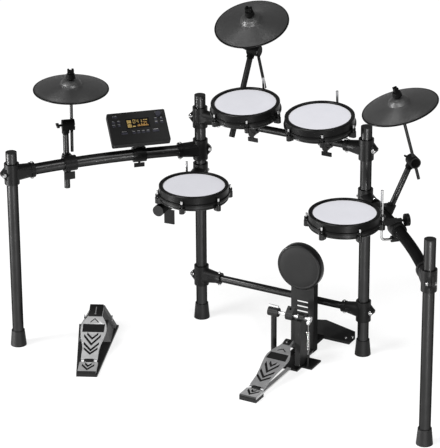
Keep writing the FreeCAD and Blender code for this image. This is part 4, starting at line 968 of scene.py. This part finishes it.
def clampList():
    # post, height, bar heading, bar radius and body of each tee clamp
    leftInner = jointSpot("left_arm_swing")
    rightInner = jointSpot("right_arm_swing")
    railLow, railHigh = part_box("cross_rails")
    railRadius = (railHigh.y - railLow.y) / 2
    postLow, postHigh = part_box("left_outer_post")
    armRadius = (postHigh.x - postLow.x) / 2
    found = [(leftInner, jointSpot("snare_tilt").z, jointAxis("snare_tilt"), armRadius, "rack")]
    for height in (railHigh.z - railRadius, railLow.z + railRadius):
        found.append((leftInner, height, across, railRadius, "rack"))
        found.append((rightInner, height, -across, railRadius, "rack"))
    for side, inner, turn in (("left", leftInner, -1), ("right", rightInner, 1)):
        outer = nodeMiddle(side + "_outer_post")
        chord = Vector((outer.x - inner.x, outer.y - inner.y, 0)).normalized()
        splay = math.radians(clampBolt["armSplay"]) * turn
        first = Matrix.Rotation(splay, 3, "Z") @ chord
        last = Matrix.Rotation(-splay, 3, "Z") @ chord
        found.append((inner, inner.z, first, armRadius, side + "_arm"))
        found.append((outer, inner.z, -last, armRadius, side + "_arm"))
    return found


def makeClampBolts():
    size = clampBolt
    blanks = {kind: turnedPiece(kind, shape["steps"], shape["sides"]) for kind, shape in boltShapes.items()}
    byBody = {}
    for post, height, heading, barRadius, body in clampList():
        middle = Vector((post.x, post.y, height))
        side = up.cross(heading)
        facing = side if side.y < 0 else -side  # heads towards the player's side
        ear = middle - heading * size["earReach"]
        socket = middle + heading * size["screwReach"]
        collar = up * (barRadius + size["collarLip"] - size["sink"])
        places = (("head", axes(ear + facing * size["earHalf"], up, facing)),
                  ("nut", axes(ear - facing * size["earHalf"], up, -facing)),
                  ("screw", axes(socket + collar, heading, up)),
                  ("nut", axes(socket - collar, heading, -up)))
        group = byBody.setdefault(body, [])
        for kind, place in places:
            group.append(copyOf(blanks[kind], kind, place))
    for body, group in byBody.items():
        dress(joinPieces(group, body + "Bolts"), finishes["bright_steel"], body)
    for blank in blanks.values():
        bpy.data.objects.remove(blank)


makeClampBolts()
print("clamp bolts set")


# small trim: two bolts in the tower's foot, and a pin on each side of the hi-hat pedal's rise

# each bolt's place is in mm from the back right corner of the tower, on the floor
footBolt = {"sides": 24, "steps": ((4.2, -2.0), (4.2, 1.6), (3.6, 2.2), (2.0, 2.2), (1.8, 1.0), (0.3, 1.0)),
            "spots": (((0, -21.9, 16.5), (1, 0, 0)), ((-17.6, -35.7, 15.7), (0.07, -0.41, 0.91)))}
risePin = {"sides": 20, "steps": ((2.6, 0), (2.6, 20.5), (1.8, 22.0), (0.3, 22.0)), "aside": 48,
           "ahead": 370, "low": 29}


def turnedGroup(name, shape, places):
    # one turned shape at each place, joined into one piece
    group = []
    for place in places:
        group.append(turnedPiece("trim", shape["steps"], shape["sides"]))
        group[-1].data.transform(place)
    return joinPieces(group, name)


def makeFootBolts():
    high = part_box("kick_tower")[1]
    corner = Vector((high.x, high.y, 0))
    places = [axes(corner + Vector(spot) * mm, up, normal) for spot, normal in footBolt["spots"]]
    bolts = turnedGroup("footBolts", footBolt, places)
    dress(bolts, finishes["bright_steel"], bodyOf["kick_tower"])


def makeRisePins():
    spots = [Vector((side * risePin["aside"], risePin["ahead"], risePin["low"])) * mm for side in (-1, 1)]
    places = [heelFrame("hihat") @ Matrix.Translation(spot) for spot in spots]
    pins = turnedGroup("risePins", risePin, places)
    dress(pins, extras["darkAndShadedSilver"], bodyOf["hihat_pedal_base"])


makeFootBolts()
makeRisePins()
print("small trim set")


# sound module: bevelled keys, a display with amber cells, and plain printed bars for legends, in mm

# every key and cell is its middle and size on the panel
moduleKeys = (((-74, 46, 18, 6), (-52, -20, 22, 8), (56, -20, 22, 8))
              + tuple((x, y, 10, 6) for x in (-82, -64, 64, 83) for y in (25, 11))
              + tuple((x, -21, 11, 7) for x in (-19, -3, 13, 29)))
panel = {"halfThickness": 1.5, "keyTop": 2.2, "keyDepth": 5.0, "keyBevel": 0.7, "keySmooth": 40}
screen = {"x": 0.5, "y": 16.3, "width": 81.4, "height": 39.4, "low": -1.6, "high": -0.7, "bevel": 0.2,
          "cellLow": -0.75, "cellHigh": -0.5}
legend = {"gap": 2.6, "share": 0.8, "height": 1.5, "low": -0.2, "high": 0.12}
knobDots = {"x": 74, "y": 54, "size": 1.6, "spread": (-8, 0, 8)}
numeral = {"width": 6.4, "height": 13, "y": 8, "bar": 0.22, "fill": 0.86,
           "shown": ((-12, ("top", "bottom", "leftTop", "rightTop", "leftLow", "rightLow")),
                     (-1, ("middle", "leftTop", "rightTop", "rightLow")),
                     (10, ("rightTop", "rightLow")))}
amberGrids = (
    {"first": (-35, 4), "step": (3.6, 4.2), "count": (4, 3), "cell": (2.8, 3.0)},
    {"first": (-34, -13), "step": (4.6, 3.4), "count": (3, 4), "cell": (3.6, 2.2)},
    {"first": (-18, -11), "step": (3.4, 0), "count": (3, 1), "cell": (2.4, 4.2)},
    {"first": (22, 12), "step": (5, 0), "count": (3, 1), "cell": (3.4, 2.2)},
)
emberBars = {"x": -1, "y": -12, "step": 4.4, "width": 3.0, "levels": (5, 8, 4, 10, 7, 9, 5, 8, 3)}
emberLines = ((24, 4, 14, 1.6), (26, 0.6, 10, 1.6))


def moduleFrame():
    # the panel's own node is a flat plate, so its middle lies half its thickness under the face
    face = -jointAxis("module_buttons_press")
    middle = nodeMiddle("module_panel") + face * panel["halfThickness"] * mm
    return axes(middle, jointAxis("module_tilt"), face)


def numeralCells(x, lit):
    # the lit bars of one plain numeral, out of seven
    wide, half = numeral["width"], numeral["height"] / 2
    bar, fill = wide * numeral["bar"], numeral["fill"]
    bars = {"top": (0, half, wide, bar), "middle": (0, 0, wide, bar), "bottom": (0, -half, wide, bar),
            "leftTop": (-wide / 2, half / 2, bar, half), "rightTop": (wide / 2, half / 2, bar, half),
            "leftLow": (-wide / 2, -half / 2, bar, half), "rightLow": (wide / 2, -half / 2, bar, half)}
    return [(x + spotX, numeral["y"] + spotY, width * fill, height * fill)
            for spotX, spotY, width, height in map(bars.get, lit)]


def gridCells(grid):
    x, y = grid["first"]
    stepX, stepY = grid["step"]
    columns, rows = grid["count"]
    return [(x + column * stepX, y + row * stepY, *grid["cell"])
            for column in range(columns) for row in range(rows)]


def amberCells():
    cells = []
    for grid in amberGrids:
        cells += gridCells(grid)
    for x, lit in numeral["shown"]:
        cells += numeralCells(x, lit)
    return cells


def emberCells():
    size = emberBars
    bars = [(size["x"] + place * size["step"], size["y"] + level / 2, size["width"], level)
            for place, level in enumerate(size["levels"])]
    return bars + list(emberLines)


def legendCells():
    cells = [(x, y + height / 2 + legend["gap"], width * legend["share"], legend["height"])
             for x, y, width, height in moduleKeys]
    return cells + [(knobDots["x"] + x, knobDots["y"], knobDots["size"], knobDots["size"])
                    for x in knobDots["spread"]]


def panelPiece(name, cells, low, high, bevel=0.0):
    piece = joinPieces([flatBlock("block", *cell, low, high, bevel) for cell in cells], name)
    piece.data.transform(moduleFrame())
    return piece


def makeModule():
    keys = panelPiece("panelKeys", moduleKeys, -panel["keyDepth"], panel["keyTop"], panel["keyBevel"])
    dress(keys, finishes["button_plastic"], "module_buttons", panel["keySmooth"])
    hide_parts("module_buttons")
    window = [(screen["x"], screen["y"], screen["width"], screen["height"])]
    glass = panelPiece("displayGlass", window, screen["low"], screen["high"], screen["bevel"])
    dress(glass, extras["glass"], "module")
    for color, cells in (("amber", amberCells()), ("ember", emberCells())):
        placed = [(screen["x"] + x, screen["y"] + y, width, height) for x, y, width, height in cells]
        lit = panelPiece(color + "Display", placed, screen["cellLow"], screen["cellHigh"])
        dress(lit, extras[color], "module")
    printed = panelPiece("panelLegends", legendCells(), legend["low"], legend["high"])
    dress(printed, extras["print"], "module")


makeModule()
print("module dressed")


# floor, light and camera

stage = {"floorSize": 80.0, "floorColor": grey(0.86), "bounce": grey(0.30), "glow": 0.72, "white": 1.10,
         "floorMirror": 1.0, "sky": 0.20, "skyMirror": 0.25}
keyLight = {"place": (-2.2, -3.4, 5.0), "strength": 2.9, "spread": 22}
lamps = {
    "leftStrip": {"place": (-2.7, -2.4, 0.22), "target": (0, 0, 0.3), "size": (0.3, 0.4), "power": 330},
    "frontStrip": {"place": (2.4, -2.9, 0.22), "target": (0, 0, 0.3), "size": (0.22, 0.4), "power": 200},
    "topSoftbox": {"place": (1.9, -0.9, 3.6), "target": (0, 0, 0.5), "size": (1.6, 1.2), "power": 50},
}
photoCamera = {"place": (3.72007, -7.03884, 3.97007), "tilt": 66.3816, "azimuth": 28.7045, "roll": -0.3693,
               "focalPixels": 2625.82, "photoHeight": 448, "sensor": 36.0, "farthest": 100}


class Sky(Finish):
    def __init__(self, name):
        self.world = bpy.data.worlds.new(name)
        self.world.use_nodes = True
        self.tree = self.world.node_tree
        self.tree.nodes.clear()


def seenRays(finish, mirror):
    # what the camera sees, straight, through glass or in a reflection
    rays = ("Is Camera Ray", "Is Transmission Ray", "Is Glossy Ray")
    straight, glass, mirrored = [finish.node("ShaderNodeLightPath", {}, {}, ray) for ray in rays]
    return straight + glass + mirrored * mirror


def makeFloor():
    # white to the eye with soft shadows, and dim in the light that it throws back
    pickNone()
    bpy.ops.mesh.primitive_plane_add(size=stage["floorSize"])
    floor = named("studioFloor")
    finish = Finish("paleFloor")
    seen = seenRays(finish, stage["floorMirror"])
    color = finish.blend(seen, stage["bounce"], stage["floorColor"])
    matt = finish.node("ShaderNodeBsdfDiffuse", {}, {"Color": color})
    white = finish.node("ShaderNodeEmission", {}, {"Color": grey(1.0), "Strength": stage["white"]})
    mixed = finish.node("ShaderNodeMixShader", {}, {0: seen * stage["glow"], 1: matt, 2: white})
    finish.node("ShaderNodeOutputMaterial", {}, {"Surface": mixed})
    coat(floor, finish.material)


def makeSky():
    sky = Sky("studioSky")
    soft = sky.node("ShaderNodeBackground", {}, {"Color": grey(1.0), "Strength": stage["sky"]})
    white = sky.node("ShaderNodeBackground", {}, {"Color": grey(1.0), "Strength": 1.0})
    mixed = sky.node("ShaderNodeMixShader", {}, {0: seenRays(sky, stage["skyMirror"]), 1: soft, 2: white})
    sky.node("ShaderNodeOutputWorld", {}, {"Surface": mixed})
    bpy.context.scene.world = sky.world


def addLight(name, kind, place, target):
    pickNone()
    bpy.ops.object.light_add(type=kind, location=place)
    light = bpy.context.object
    light.name = name
    light.rotation_mode = "QUATERNION"
    light.rotation_quaternion = (Vector(target) - Vector(place)).to_track_quat("-Z", "Y")
    return light.data


def makeLights():
    sun = addLight("keyLight", "SUN", keyLight["place"], (0, 0, 0))
    sun.energy = keyLight["strength"]
    sun.angle = math.radians(keyLight["spread"])
    for name, look in lamps.items():
        lamp = addLight(name, "AREA", look["place"], look["target"])
        lamp.shape = "RECTANGLE"
        lamp.size, lamp.size_y = look["size"]
        lamp.energy = look["power"]


def makeCamera():
    look = photoCamera
    pickNone()
    bpy.ops.object.camera_add(location=look["place"])
    camera = bpy.context.object
    camera.name = "photoCamera"
    turn = Matrix.Rotation(math.radians(look["azimuth"]), 3, "Z")
    tilt = Matrix.Rotation(math.radians(look["tilt"]), 3, "X")
    roll = Matrix.Rotation(math.radians(look["roll"]), 3, "Z")
    camera.rotation_mode = "QUATERNION"
    camera.rotation_quaternion = (turn @ tilt @ roll).to_quaternion()
    camera.data.sensor_fit = "AUTO"
    camera.data.sensor_width = look["sensor"]
    camera.data.lens = look["focalPixels"] / look["photoHeight"] * look["sensor"]
    camera.data.clip_end = look["farthest"]
    bpy.context.scene.camera = camera


makeFloor()
makeSky()
makeLights()
makeCamera()
bpy.context.scene.view_settings.view_transform = "Standard"
print("studio set")
